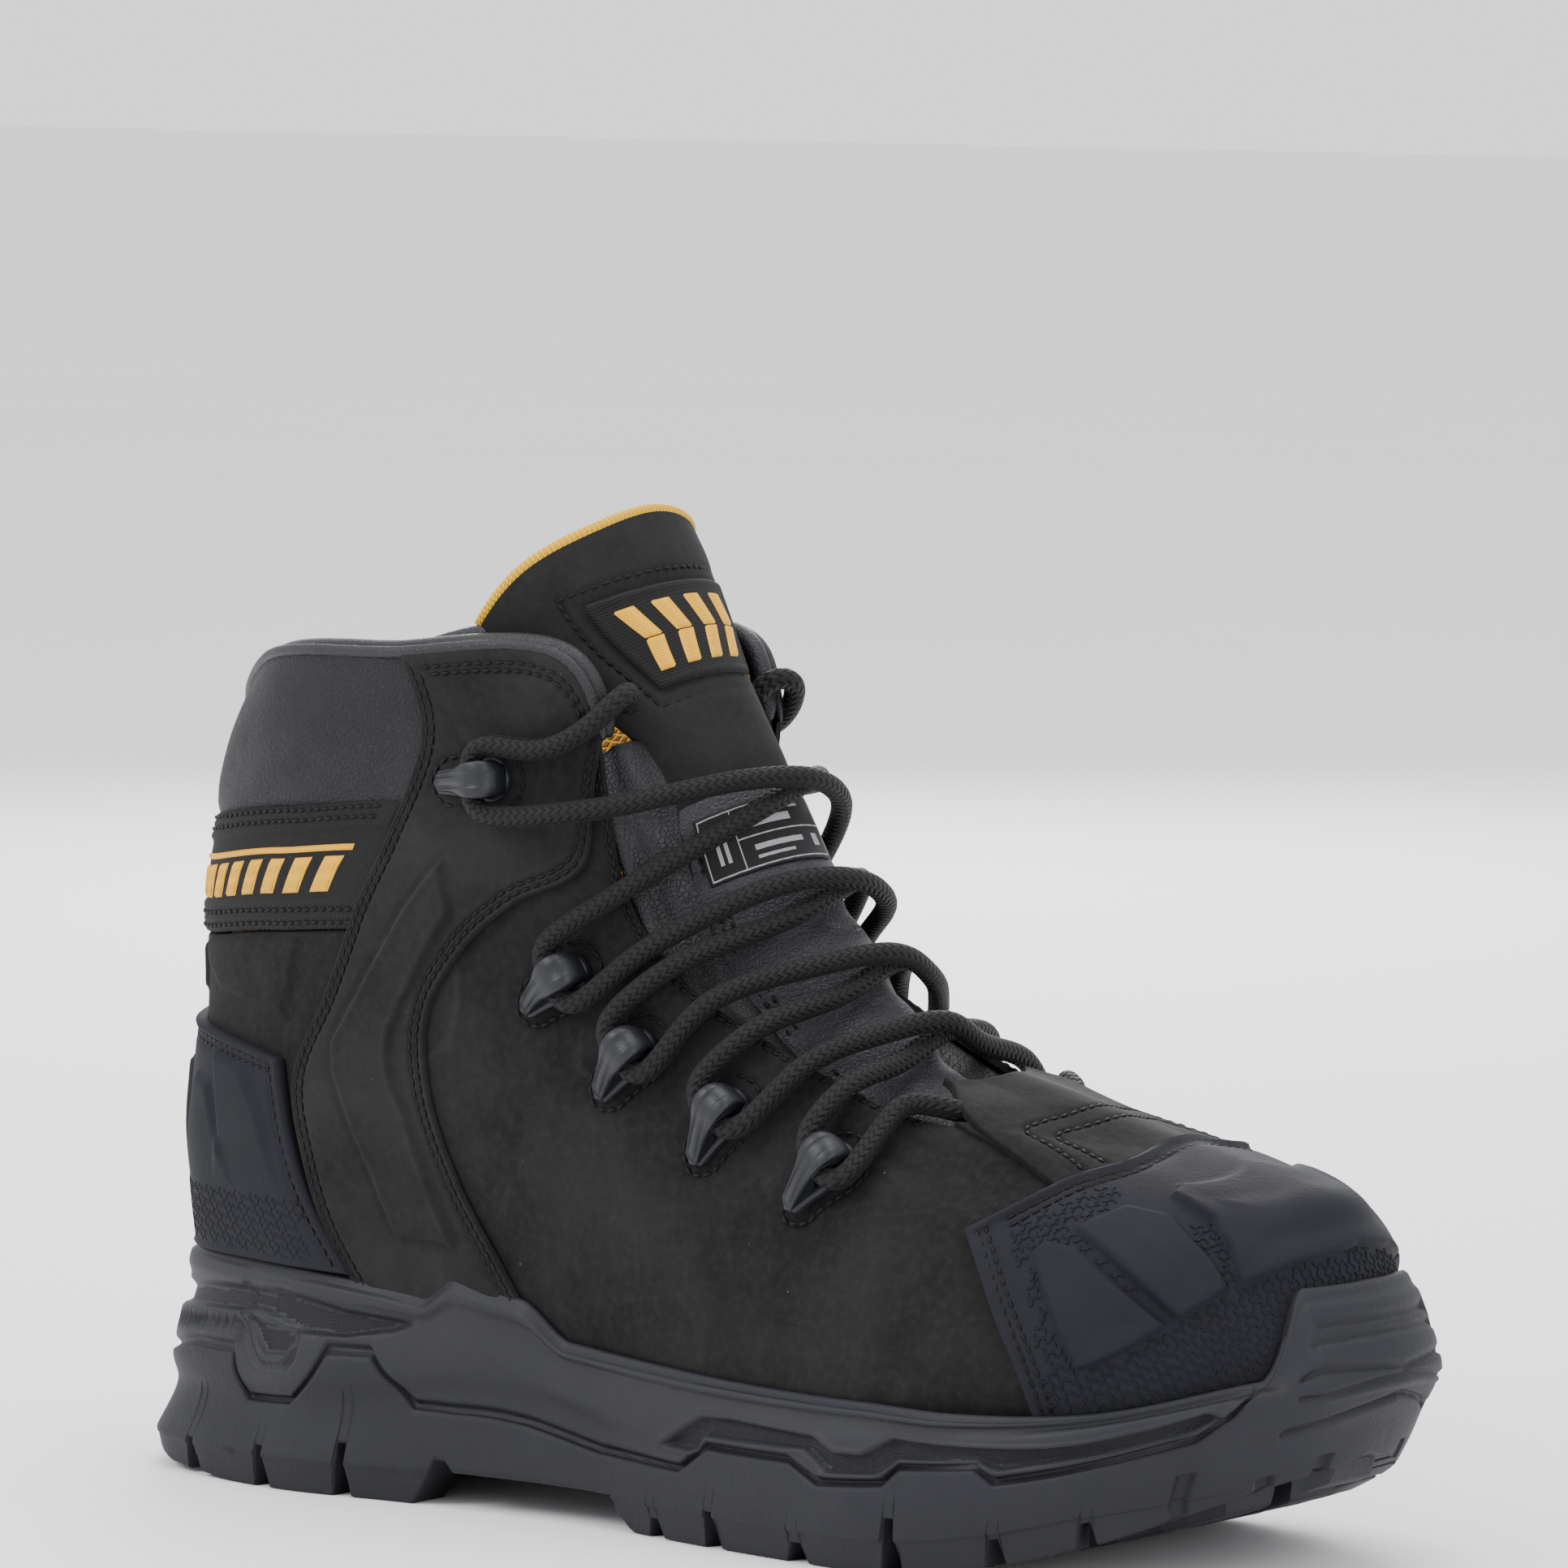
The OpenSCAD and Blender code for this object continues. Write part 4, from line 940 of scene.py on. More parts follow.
# throat tab: a strip that carries on from the toe guard, and the lace comes out from under it
def tab_at(u, v, t=0.0):
    b = np.clip((v - 3.42) / 0.66, 0, 1)
    return L(u, v, t + 2.0 + 2.8 * np.sin(np.pi / 2 * b) ** 1.5)


TAB_SIDE = [2.12, 2.24, 2.30, 2.16, 1.75]
q = Panel([-x for x in TAB_SIDE], TAB_SIDE, [2.60], [4.08], -1.7, 0.15, 0.7, at=tab_at)
half_turn = np.linspace(0, np.pi, 50)
rows = []
for wide, high, end in ((1.86, 0.34, 2.93), (1.58, 0.25, 3.11)):
    arch = np.stack([wide * np.cos(half_turn), 3.40 + high * np.sin(half_turn)], -1)
    leg = np.stack([np.full(12, wide), np.linspace(end, 3.38, 12)], -1)
    rows.append(np.concatenate([leg, arch, leg[::-1] * [-1, 1]]))
o = q.build("throat_tab_leather", -0.5 * q.groove(rows, 0.75), 0.5)
finish_piece(o, "boot", M["nubuck"], ["throat_tab"])
stitch.on(rows, 0.0, tab_at)

# ---------------------------------------------------------------- tongue
TONGUE = [[70, 82], [52, 94], [35, 109.5], [20, 128], [8, 149], [-4, 169], [-16, 190], [-27, 211]]
TONGUE_R = [12, 19, 22, 23, 22.5, 20.5, 27, 31]
TONGUE_SWEEP = [60, 78, 84, 86, 82, 72, 92, 98]
ROUND_TOP = [0.94, 0.975, 0.99, 1, 0.99, 0.975, 0.94]


def T(s, a, t=0.0):
    """A point on the tongue: s up it, a across it, t out of it."""
    s, a, t = np.broadcast_arrays(np.asarray(s, float), np.asarray(a, float), np.asarray(t, float))
    c = along(TONGUE, np.clip(s, 0, 1))
    d = norm(along(TONGUE, np.minimum(s + 0.02, 1)) - along(TONGUE, np.maximum(s - 0.02, 0)))
    nx, nz = d[..., 1], -d[..., 0]
    r = along(TONGUE_R, s)
    ang = np.radians(a * along(TONGUE_SWEEP, s))
    drop = r - (r + t) * np.cos(ang)
    return np.stack([c[..., 0] - nx * drop, -3.5 + (r + t) * np.sin(ang), c[..., 1] - nz * drop], -1)


class TonguePanel(Panel):
    """a runs up the tongue and b across it."""

    def __init__(s, start, end, a_from, a_to, t_in, t_out, cell=1.0):
        s.start, s.end, s.across = start, end, (a_from, a_to)
        super().__init__([0], [1], [0], [1], t_in, t_out, cell, at=T)

    def uv(s, a, b):
        a, b = np.broadcast_arrays(a, b)
        return mix(along(s.start, b), along(s.end, b), a), mix(*s.across, b)


tongue_stitch = Threads()
# nubuck top with a recess for the badge
q = TonguePanel([0.615], ROUND_TOP, -1, 1, -1.4, 0.0, 1.0)
BADGE = np.array([(0.766, -0.565), (0.766, 0.365), (0.904, 0.365), (0.904, -0.565)])
badge_mm = np.array([165.0, 40.0])
d = inside_distance(q.u * badge_mm[0], q.v * badge_mm[1], BADGE * badge_mm)
corner = np.vstack([BADGE, BADGE[:1]])
frame_row = np.vstack([mix(corner[k], corner[k + 1], np.linspace(0, 1, 30)[:, None]) for k in range(4)])
middle = np.array([0.835, -0.10])
frame_row = middle + (frame_row - middle) * [1.22, 1.13]
soft = 0.7 * np.sin(q.sa / 13 + 0.5) * np.sin(q.sb / 17) * ramp(0, 8, q.edge) * ramp(-14, -4, -d)
o = q.build("tongue_top_leather", -0.45 * ramp(-1.6, 0.4, d) - 0.4 * q.groove([frame_row], 0.9) + soft)
finish_piece(o, "tongue", M["tongue_top"], ["tongue_leather"])
tongue_stitch.on([frame_row, q.inset("front", 2.2, 0.06, 0.94)], -0.1, T)

# yellow binding round the top
a = np.linspace(-1, 1, 160)
top = along(ROUND_TOP, (a + 1) / 2)
up = norm(T(top, a, 1.0) - T(top, a, 0.0))
rise = norm(T(top, a, 0) - T(top - 0.03, a, 0))
pts, uv = sweep(T(top, a, -2.6) + rise * 0.3, up, circle(1.0, 16) * [1.5, 3.1])
finish_piece(capped_tube("tongue_binding", pts, uv * [1, 0.16]), "tongue", M["yellow"])

# yellow lining
q = TonguePanel([0.03], ROUND_TOP, -1, 1, -6.3, -5.25, 1.6)
t_face = -6.3 + 0.5 * np.sin(q.sa / 9) * np.sin(q.sb / 10) * ramp(0, 6, q.edge)
o = mesh("tongue_lining_cloth", T(q.u, q.v, t_face), grid_faces(*q.u.shape, flip=True),
         np.stack([q.sa, q.sb], -1) / 100)
finish_piece(o, "tongue", M["lining"], ["tongue_lining"])

# padded lower part, quilted across
CHANNELS = [0.10, 0.21, 0.33, 0.45, 0.545]
q = TonguePanel([0.02], [0.625], -0.97, 0.97, -1.4, -0.1, 0.9)
bend = 0.012 * np.cos(np.pi * q.v)
near = np.min([np.abs(q.u + bend - c) for c in CHANNELS], 0) * 165
quilt = 1.25 * (1 - bell(near, 4.5)) - 0.75
quilt = quilt * ramp(1.0, 0.75, np.abs(q.v)) * ramp(0, 9, q.edge)
crease = 0.28 * np.sin(q.sb / 2.3 + 3 * np.sin(q.sa / 9)) * bell(near, 3.5)
o = q.build("tongue_padding", quilt + crease * ramp(0, 5, q.edge), 1.2)
finish_piece(o, "tongue", M["tongue_leather"], ["tongue_pad"])
up = np.linspace(0.14, 0.60, 60)
tongue_stitch.on([np.stack([up, np.full(60, m * a)], -1) for m in (1, -1) for a in (0.66, 0.72)], -0.2, T)

# badge: a black woven patch with a plain yellow mark
q = TonguePanel([0.77], [0.9], -0.54, 0.34, 0.2, 0.95, 0.7)
o = q.build("tongue_badge_patch", 0.35 * bell(q.edge - 0.8, 0.8), 0.5)
finish_piece(o, "tongue", M["band"], ["tongue_badge"])


def patch(name, polys, t, high, mat, cell=0.5):
    """Raised flat shapes on the tongue, each a convex four-cornered patch of (s, a)."""
    heap = Heap()
    for c in polys:
        c = np.array(c, float)
        w, h = (np.linalg.norm(T(*c[k]) - T(*c[0])) for k in (1, 3))
        n, m = max(4, int(w / cell)), max(4, int(h / cell))
        a, b = np.linspace(0, 1, n)[:, None], np.linspace(0, 1, m)[None, :]
        g = mix(mix(c[0], c[1], a[..., None]), mix(c[3], c[2], a[..., None]), b[..., None])
        e = np.minimum(np.minimum(a, 1 - a) * w, np.minimum(b, 1 - b) * h)
        p = T(g[..., 0], g[..., 1], t + high * np.sqrt(np.clip(e / 0.6, 0, 1)))
        heap.add(p, grid_faces(n, m), (a * w / 100, b * h / 100))
    finish_piece(heap.mesh(name), "tongue", M[mat])


mark = []
for k in range(4):
    a0 = -0.45 + 0.185 * k
    mark.append([(0.790, a0), (0.835, a0 + 0.06), (0.835, a0 + 0.17), (0.790, a0 + 0.11)])
    mark.append([(0.835, a0 + 0.06), (0.880, a0), (0.880, a0 + 0.11), (0.835, a0 + 0.17)])
patch("badge_mark", mark, 0.85, 0.45, "embroidery")

# label: a dark satin tag with a plain border and two bars
q = TonguePanel([0.505], [0.595], -0.7, 0.3, 0.25, 0.65, 0.6)
o = q.build("tongue_label_tag", 0.0, 0.3)
finish_piece(o, "tongue", M["label"], ["tongue_label"])


# each bar: where it starts and ends up the tongue, then across it
bars = [(0.509, 0.591, -0.68, -0.672), (0.509, 0.591, 0.265, 0.273), (0.509, 0.511, -0.672, 0.265),
        (0.589, 0.591, -0.672, 0.265), (0.548, 0.550, -0.45, 0.265), (0.509, 0.591, -0.458, -0.450),
        (0.560, 0.570, -0.36, -0.02), (0.576, 0.580, -0.36, 0.10), (0.530, 0.537, -0.36, 0.02),
        (0.519, 0.523, -0.36, -0.08), (0.522, 0.538, 0.12, 0.19), (0.525, 0.575, -0.60, -0.575),
        (0.525, 0.56, -0.55, -0.525)]
patch("label_marks", [[(s0, a0), (s1, a0), (s1, a1), (s0, a1)] for s0, s1, a0, a1 in bars],
      0.66, 0.14, "grey", 0.35)

# gussets: folded leather from under the facing to the tongue
for s, side in SIDES:
    k = np.linspace(0, 1, 90)
    ss = mix(0.0, 0.72, k)
    uu = s * (3.3 + (ss - 0.21) * 3.95)
    row = along(FACING, np.clip((np.abs(uu) - 2.1) / 4.2, 0, 1))
    hold = -s * (0.80 + 0.16 * ramp(0.85, 1.0, k))
    under, bulge, held = L(uu, row - 0.22, -2.6), L(uu, row - 0.02, -1.9), T(ss, hold, -0.9)
    w = np.linspace(0, 1, 26)[None, :, None]
    g = (1 - w) ** 2 * under[:, None] + 2 * w * (1 - w) * bulge[:, None] + w**2 * held[:, None]
    out = norm(T(ss, hold, 1.0) - T(ss, hold, 0.0))[:, None]
    w = w[..., 0]
    folds = np.sin(w * np.pi * 3 + 1.2 * np.sin(k[:, None] * 9)) * np.sin(np.pi * w)
    g = g + folds[..., None] * out
    o = mesh("gusset_fold_" + side, g, grid_faces(90, 26, flip=s < 0),
             np.stack(np.broadcast_arrays(k[:, None], w * 0.1), -1))
    sol = o.modifiers.new("thick", "SOLIDIFY")
    sol.thickness = 0.0009
    sol.offset = -1
    finish_piece(o, None, M["gusset"], ["gusset_" + side])
    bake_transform(o)

finish_piece(tongue_stitch.mesh("tongue_stitching"), "tongue", M["thread"])

# ---------------------------------------------------------------- lining
u = np.linspace(-HEEL, HEEL, 260)
a = np.abs(u)
top_row = mix(mix(3.55, 3.15, ramp(1.1, 1.7, a)), 3.97, ramp(5.0, 5.4, a))
w = np.linspace(0, 1, 70)
v = 0.05 + (top_row[:, None] - 0.05) * w[None]
puff = 0.35 * np.sin(u * 5.5)[:, None] * np.sin(w * 9)[None] * np.sin(np.pi * w)[None] ** 2
g = L(u[:, None], v, -4.9 + puff)
round_it = np.broadcast_to(arc(g, 0)[:, 35:36], puff.shape)
o = mesh("lining_cloth", g, grid_faces(*puff.shape, flip=True), np.stack([round_it, arc(g, 1)], -1) / 100)
finish_piece(o, "boot", M["lining"], ["boot_lining"])

# ---------------------------------------------------------------- sole
TREAD = [
    [152, 0], [142, 27], [113, 50], [72, 55.5], [22, 49], [-20, 40.5], [-64, 41], [-104, 43], [-144, 30],
    [-158, 0]]
RAND = [
    [155, 0], [145, 28], [116, 51], [74, 56], [24, 49], [-20, 39.5], [-62, 39], [-102, 41], [-139, 28],
    [-150, 0]]
BELLY = [
    [160, 0], [149, 30], [118, 52.5], [75, 56.5], [24, 49.5], [-20, 41], [-62, 40.5], [-102, 42.5],
    [-139, 29.5], [-151, 0]]


def outline(points, a, grow):
    """Half of an outline of the sole, by column, grown by some mm."""
    c = np.arange(-1, HEEL + 2)
    o = np.array(points, float)[fold(np.abs(c))]
    o[[0, -1], 1] *= -1

    def half(x):
        return along(o, (np.asarray(x, float) + 1) / (HEEL + 2))

    d = half(np.minimum(a + 0.03, HEEL + 1)) - half(a - 0.03)
    out = norm(np.stack([d[..., 1], -d[..., 0]], -1))
    return half(a) + out * (np.asarray(grow)[..., None] if np.ndim(grow) else grow)


def edge(points, u, grow=0.0):
    q = outline(points, np.abs(u), grow)
    c = swing(q[..., 0])
    return np.stack([q[..., 0], np.where(u > 0, c - q[..., 1], c + 0.94 * q[..., 1])], -1)


def ground(x):
    """The toe spring: how high the tread is over the floor."""
    return 26 * np.maximum(0, (x - 60) / 100) ** 1.9


def tread_top(x):
    """Height where the tread meets the midsole."""
    return along([36, 27, 20.5, 17, 16, 16, 19, 22, 20, 18, 18, 18], np.clip((165 - x) / 330, 0, 1))


def depth(x):
    """How deep the lugs are."""
    return 7 * mix(1, 0.4, np.clip((x - 115) / 35, 0, 1))


def lip(a):
    """Row where the midsole ends on the upper, and how far out it stands there."""
    b = np.clip((0.95 - a) / 0.32, 0, 1)
    row = along([0.72, 0.66, 0.44, 0.38, 0.3, 0.2, 0.24, 0.3, 0.33, 0.33], a / HEEL) + \
        0.8 * b * b * (3 - 2 * b)
    wave = 0.2 * ramp(5.98, 5.72, a) * ramp(5.0, 5.3, a)
    return row + wave, mix(2.8, 0.35, np.clip((a - 2.75) / 0.4, 0, 1))


def lift(e, z):
    return np.concatenate([e, z[..., None]], -1)


def wall(u, h, out=0.0):
    """The sole's side: h is -1 on the ground, 0 at the foot of the tread, 1 at its top, 2 at the fullest line
    and 3 at the lip."""
    u, h = np.broadcast_arrays(np.asarray(u, float), np.asarray(h, float))
    u = np.where(np.abs(u) < 1e-6, 1e-6, u)
    e0, e1, e2 = edge(TREAD, u, -0.5 + out), edge(RAND, u, out), edge(BELLY, u, out)
    p0 = lift(e0, ground(e0[..., 0]) + depth(e0[..., 0]))
    p1 = lift(e1, tread_top(e1[..., 0]))
    p2 = lift(e2, tread_top(e2[..., 0]) + 9)
    row, room = lip(np.abs(u))
    p3 = L(u, row, room + 2 + out)
    levels = np.stack([2 * p0 - p1, p0, p1, p2, p3, 2 * p3 - p2])
    i = np.clip(np.floor(h).astype(int), 0, 2)
    wt = b4(np.maximum(h, 0) - i)
    up = sum(wt[..., k, None] * np.take_along_axis(levels, (i + k)[None, ..., None], 0)[0] for k in range(4))
    t = np.clip(-h, 0, 1)
    eb = edge(TREAD, u, -0.5 - 1.4 * t + out)
    down = lift(eb, ground(eb[..., 0]) + depth(eb[..., 0]) * (1 - t))
    return np.where(h[..., None] < 0, down, up)


def wall_normal(u, h):
    return norm(np.cross(wall(u, h + 0.05) - wall(u, h - 0.05), wall(u + 0.01, h) - wall(u - 0.01, h)))


# the line between tread and midsole: (column, height on the wall)
BORDER = [
    (0, 3.05), (0.88, 3.05), (0.98, 2.95), (1.06, 2.5), (1.14, 2.1), (1.22, 1.78), (1.4, 1.42),
    (1.76, 1.32), (2.14, 1.24), (2.43, 1.2), (2.54, 1.56), (2.94, 1.6), (3.03, 1.22), (3.39, 1.12),
    (3.54, 1.56), (4.02, 1.6), (4.22, 0.92), (4.82, 0.75), (5.3, 0.86), (5.8, 0.88), (6.06, 0.96),
    (6.3, 2.15), (6.58, 2.17), (6.86, 1.05), (7.2, 1.06), (7.29, 2.1), (7.66, 2.08), (8.62, 1.7), (9, 1.7)]
bu, bh = np.array(BORDER).T


def border(u):
    return np.interp(np.abs(u), bu, bh)


# the foot of the tread: where the lugs end, then (from, to, top) of the open slots and the shallow grooves
FOOT = [
    (0, 0.15), (0.3, 0), (0.64, -0.26), (1.02, -0.48), (1.34, -0.68), (1.82, -0.92), (2.3, -1), (4.58, -1),
    (4.62, -0.9), (4.71, -0.44), (4.72, 0.05), (5.74, 0.05), (5.8, 0.2), (5.86, 0.2), (6.02, -1), (7.3, -1),
    (7.68, -0.84), (7.86, -0.8), (8.12, -0.55), (9, -0.35)]
SLOTS = [
    (7.55, 7.61, 0.08), (7.0, 7.06, 0.18), (6.43, 6.49, 0.35), (4.37, 4.43, -0.42), (3.96, 4.01, 0.1),
    (3.46, 3.52, -0.4), (2.94, 3.0, 0.5), (2.36, 2.42, -0.2), (1.86, 1.92, -0.22), (8.86, 8.93, 0.08)]
SHALLOW = [(1.37, 1.46, 0.72), (0.86, 0.97, 0.1), (0.44, 0.56, 0.38)]
cuts = [x + d for slots, w in ((SLOTS, 0.005), (SHALLOW, 0.02))
        for slot in slots for x in slot[:2] for d in (-w, w)]
du = np.concatenate([np.linspace(0, HEEL, 560), bu + 0.012, bu - 0.012, np.array(FOOT)[:, 0], cuts])
du = np.unique(du.clip(0.004, 8.996))
ring_u = np.concatenate([du, -du[::-1]])

# midsole: the shapes drawn on its side, as (column, height on the wall)
RECESS = [
    (4.34, 1.42), (4.06, 2.28), (3.88, 2.32), (3.42, 2.2), (3.3, 1.87), (3.14, 1.88), (2.98, 2.32),
    (2.37, 1.95), (2.16, 1.84), (1.96, 1.8), (1.62, 1.88), (1.36, 2.02), (1.28, 1.8), (1.54, 1.56),
    (1.8, 1.5), (2.26, 1.53), (2.4, 1.5), (2.5, 1.68), (2.94, 1.84), (3.08, 1.48), (3.34, 1.44),
    (3.46, 1.92), (4.02, 1.92), (4.1, 1.5)]
LENS = [
    (8.9, 2.55), (7.74, 2.72), (6.92, 2.82), (6.5, 2.7), (6.02, 2.66), (6.18, 2.52), (6.48, 2.4),
    (6.76, 2.42), (7.08, 2.58), (8.2, 2.45), (8.92, 2.36)]
POCKET = [(7.24, 2.52), (6.78, 2.42), (6.88, 2.14), (7.04, 2.12)]
VRIDGE = [
    (8.6, 2.2), (7.82, 2.34), (7.32, 2.42), (7.2, 2.34), (7.08, 1.98), (6.88, 1.95), (6.82, 2.12),
    (6.79, 2.38)]
SOLE_MM = np.array([38.0, 10.0])
hs = np.linspace(0, 1, 54)
h0 = np.maximum(0.55, border(ring_u) - 0.45)[:, None]
h = h0 + (3 - h0) * hs[None]
uu = np.broadcast_to(ring_u[:, None], h.shape)
au = np.abs(uu)


def on_sole(poly):
    """Distance inside a shape drawn on the sole's side, in rough millimetres."""
    return inside_distance(au * SOLE_MM[0], h * SOLE_MM[1], np.array(poly) * SOLE_MM)


lens, pocket, recess = on_sole(LENS), on_sole(POCKET), on_sole(RECESS)
ridge = np.array(VRIDGE) * SOLE_MM
ridge = np.vstack([mix(p, q, t) for p, q in zip(ridge[:-1], ridge[1:]) for t in np.linspace(0, 1, 13)])
ridge = np.min([np.hypot(au * SOLE_MM[0] - x, h * SOLE_MM[1] - y) for x, y in ridge], 0)
roll = 1.2 * ramp(2.72, 2.86, h) * (1 - ramp(2.93, 3.0, h)) + \
    0.5 * ramp(1.2, 2.0, h) * (1 - ramp(2.2, 2.7, h)) * ramp(1.0, 1.4, au)
ledge = -1.5 * bell(h - border(uu) - 0.07, 0.07)
bead = 0.45 * bell(h - border(uu) - 0.24, 0.08) * ramp(4.5, 4.2, au)
arch_rib = 0.8 * bell(h - 1.9 - 0.9 * (au - 5.0), 0.35) * ramp(4.4, 4.9, au) * (1 - ramp(5.5, 6.0, au))
out = roll - 1.9 * ramp(-0.4, 0.4, lens) - 1.9 * ramp(-0.4, 0.4, pocket) - 1.7 * ramp(-0.4, 0.7, recess) + \
    0.35 * bell(recess + 0.9, 0.5) - 1.3 * bell(ridge, 0.7) + ledge + bead + arch_rib
g = wall(uu, h) + wall_normal(uu, h) * (out * ramp(0.9, 1.25, au))[..., None]
# the lip turns in over the upper
row, room = lip(np.abs(ring_u))
turned = [L(ring_u, row + dv, room + dt) for dv, dt in ((0.035, 1.5), (0.05, 0.8), (0.04, 0.1), (-0.1, 0.0))]
g = np.concatenate([g] + [x[:, None] for x in turned], 1)
s_along = arc(g, 0)[:, -5:-4] / 100 + 0 * g[..., 0]
nu, nh = g.shape[:2]
f = grid_faces(nu, nh, close_i=True)
f = f[~(np.abs(ring_u) < 0.78)[f[:, 0] // nh]]
o = mesh("midsole_side", g, f, np.stack([s_along, arc(g, 1) / 100], -1))
o.data.materials.append(M["midsole"])
o.data.materials.append(M["inlay"])
deep = np.concatenate([np.maximum(np.maximum(lens, pocket), recess), np.full((nu, 4), -9.0)], 1).ravel()
o.data.polygons.foreach_set("material_index", (deep[f].min(1) > 0.3).astype(np.int32))
finish_piece(o, "boot", None, ["midsole"])

# tread side, toe bumper and underside
foot = np.interp(np.abs(ring_u), *np.array(FOOT).T)
is_slot = np.zeros(len(ring_u), bool)
for u0, u1, top in SLOTS:
    inside = (np.abs(ring_u) > u0) & (np.abs(ring_u) < u1)
    foot = np.where(inside, np.maximum(foot, top), foot)
    is_slot |= inside
h = foot[:, None] + (border(ring_u) - foot)[:, None] * np.linspace(0, 1, 74)[None]
au = np.abs(np.broadcast_to(ring_u[:, None], h.shape))
for u0, u1, top in SLOTS:       # slots spread towards the ground
    from_slot = au - (u0 + u1) / 2
    au = au + 0.03 * np.tanh(from_slot / 0.02) * bell(from_slot, 0.16) * ramp(top, -1.0, h)
au = au.clip(0.004, 8.996)
uu = au * np.sign(ring_u)[:, None]
shallow = 0.0
for u0, u1, top in SHALLOW:
    across = ramp(u0 - 0.02, u0 + 0.02, au) * ramp(u1 + 0.02, u1 - 0.02, au)
    shallow = shallow + across * ramp(top + 0.1, top, h)
# bumper grooves: where each ends, its height in front and at its end, and its depth
BUMPER = ((0.64, 2.66, 2.64, 1.3), (0.7, 2.5, 2.5, 1.3), (0.82, 2.24, 2.06, 1.4), (0.84, 1.84, 1.98, 1.3),
          (0.9, 1.18, 1.6, 1.8))
grooves = 0.0
for u0, ha, hb, deep in BUMPER:
    line = bell(h - hb - (ha - hb) * au / u0, 0.045 + 0.02 * (deep > 1.5))
    grooves = grooves + deep * line * ramp(u0 + 0.02, u0 - 0.04, au)
plate = 0.9 * ramp(0.80, 0.66, au) * ramp(1.7, 1.85, h) * (1 - ramp(2.80, 2.92, h))
top_edge = 0.9 * rounded((border(uu) - h) / 0.12)
foot_edge = 0.7 * rounded((h - foot[:, None]) / 0.10)
# a shallow step runs along the lugs where they leave the side
step = 0.5 * ramp(-0.08, 0.05, h) * ramp(1.0, 1.3, au)
out = 0.4 + step - top_edge - foot_edge - 1.6 * shallow - grooves + plate + \
    0.3 * np.sin(h * 2.2) * ramp(6, 5, au)
g = wall(uu, h) + wall_normal(uu, h) * out[..., None]
top_in = wall(ring_u, border(ring_u), -2.5)
inner, inner2 = edge(TREAD, ring_u, -13.0), edge(TREAD, ring_u, -13.6)
roof = ground(inner[:, 0]) + depth(inner[:, 0])
low = ground(inner[:, 0]) + depth(inner[:, 0]) * (1 + np.minimum(foot, 0)) + \
    np.where(is_slot, np.maximum(foot, 0) * 9, 0)
centre = np.stack([inner[:, 0], swing(inner[:, 0]), roof], -1)
rings = [centre, lift(inner2, roof), lift(inner, low)]
g = np.concatenate([x[:, None] for x in rings] + [g, top_in[:, None]], 1)
o = mesh("tread_side", g, grid_faces(*g.shape[:2], close_i=True), np.stack([arc(g, 0), arc(g, 1)], -1) / 100)
finish_piece(o, "boot", M["tread"], ["outsole"])

# lugs of the middle of the underside: (from, to, how far across from one side and to where, side)
LUGS = [(u0, u0 + 0.42, 0.44, 0.93, s) for s in (1, -1) for u0 in (1.4, 2.05, 2.6, 3.1, 3.6, 4.15)]
for s in (1, -1):
    LUGS += [(u0, u0 + 0.3, 0.46, 0.93, s) for u0 in (6.4, 7.1, 7.6)]
LUGS += [(0.55, 0.95, 0.5, 1.5, 1)]
heap = Heap()
for u0, u1, k0, k1, s in LUGS:
    us = np.linspace(u0, u1, 7)
    levels = []
    for inset, z_share in ((0.2, -0.06), (0.5, 0.5), (0.9, 0.9), (1.3, 0.985), (1.9, 1.0)):
        near, far = edge(TREAD, us * s, 0.25 - inset), edge(TREAD, -us * s, 0.25 - inset)
        span, unit = far - near, norm(far - near)
        ends = near + span * (k0 / 2) + unit * inset, near + span * (k1 / 2) - unit * inset
        loop = np.vstack([ends[0], ends[1][::-1]])
        c = loop.mean(0)
        loop = loop + np.sign(c - loop) * [[1.0, 0.0]] * inset * (np.abs(loop[:, :1] - c[0]) > 2) * 0.8
        floor_z = ground(loop[:, 0])
        levels.append(lift(loop, mix(floor_z + depth(loop[:, 0]) + 0.6, floor_z, z_share)))
    levels.append(np.broadcast_to(levels[-1].mean(0), levels[-1].shape))
    g = np.stack(levels)
    heap.add(g, grid_faces(*g.shape[:2], close_j=True, flip=s < 0))
finish_piece(heap.mesh("tread_lugs", smooth=False), "boot", M["tread"])

# ---------------------------------------------------------------- lace hooks
# sections along the claw: x and z of its top, x and z of its inner side, half width
HOOK_ARCH = [
    (-9.9, 0.9, -9.6, 0.3, 1.8), (-8.6, 2.5, -8.2, 0.3, 2.05), (-6.2, 4.2, -5.6, 0.4, 2.25),
    (-4.0, 5.6, -3.2, 0.8, 2.5), (-2.2, 6.6, -1.7, 2.0, 2.8), (-0.4, 7.5, -1.2, 4.3, 3.1),
    (1.3, 8.2, -0.4, 5.9, 3.5), (3.1, 8.65, 1.5, 6.7, 3.85), (5.2, 8.6, 3.4, 5.9, 4.1),
    (7.0, 7.7, 4.2, 4.3, 4.1), (8.0, 6.0, 4.5, 3.2, 3.9), (8.4, 3.9, 4.7, 2.3, 3.6),
    (8.3, 1.3, 4.8, 1.2, 3.4)]


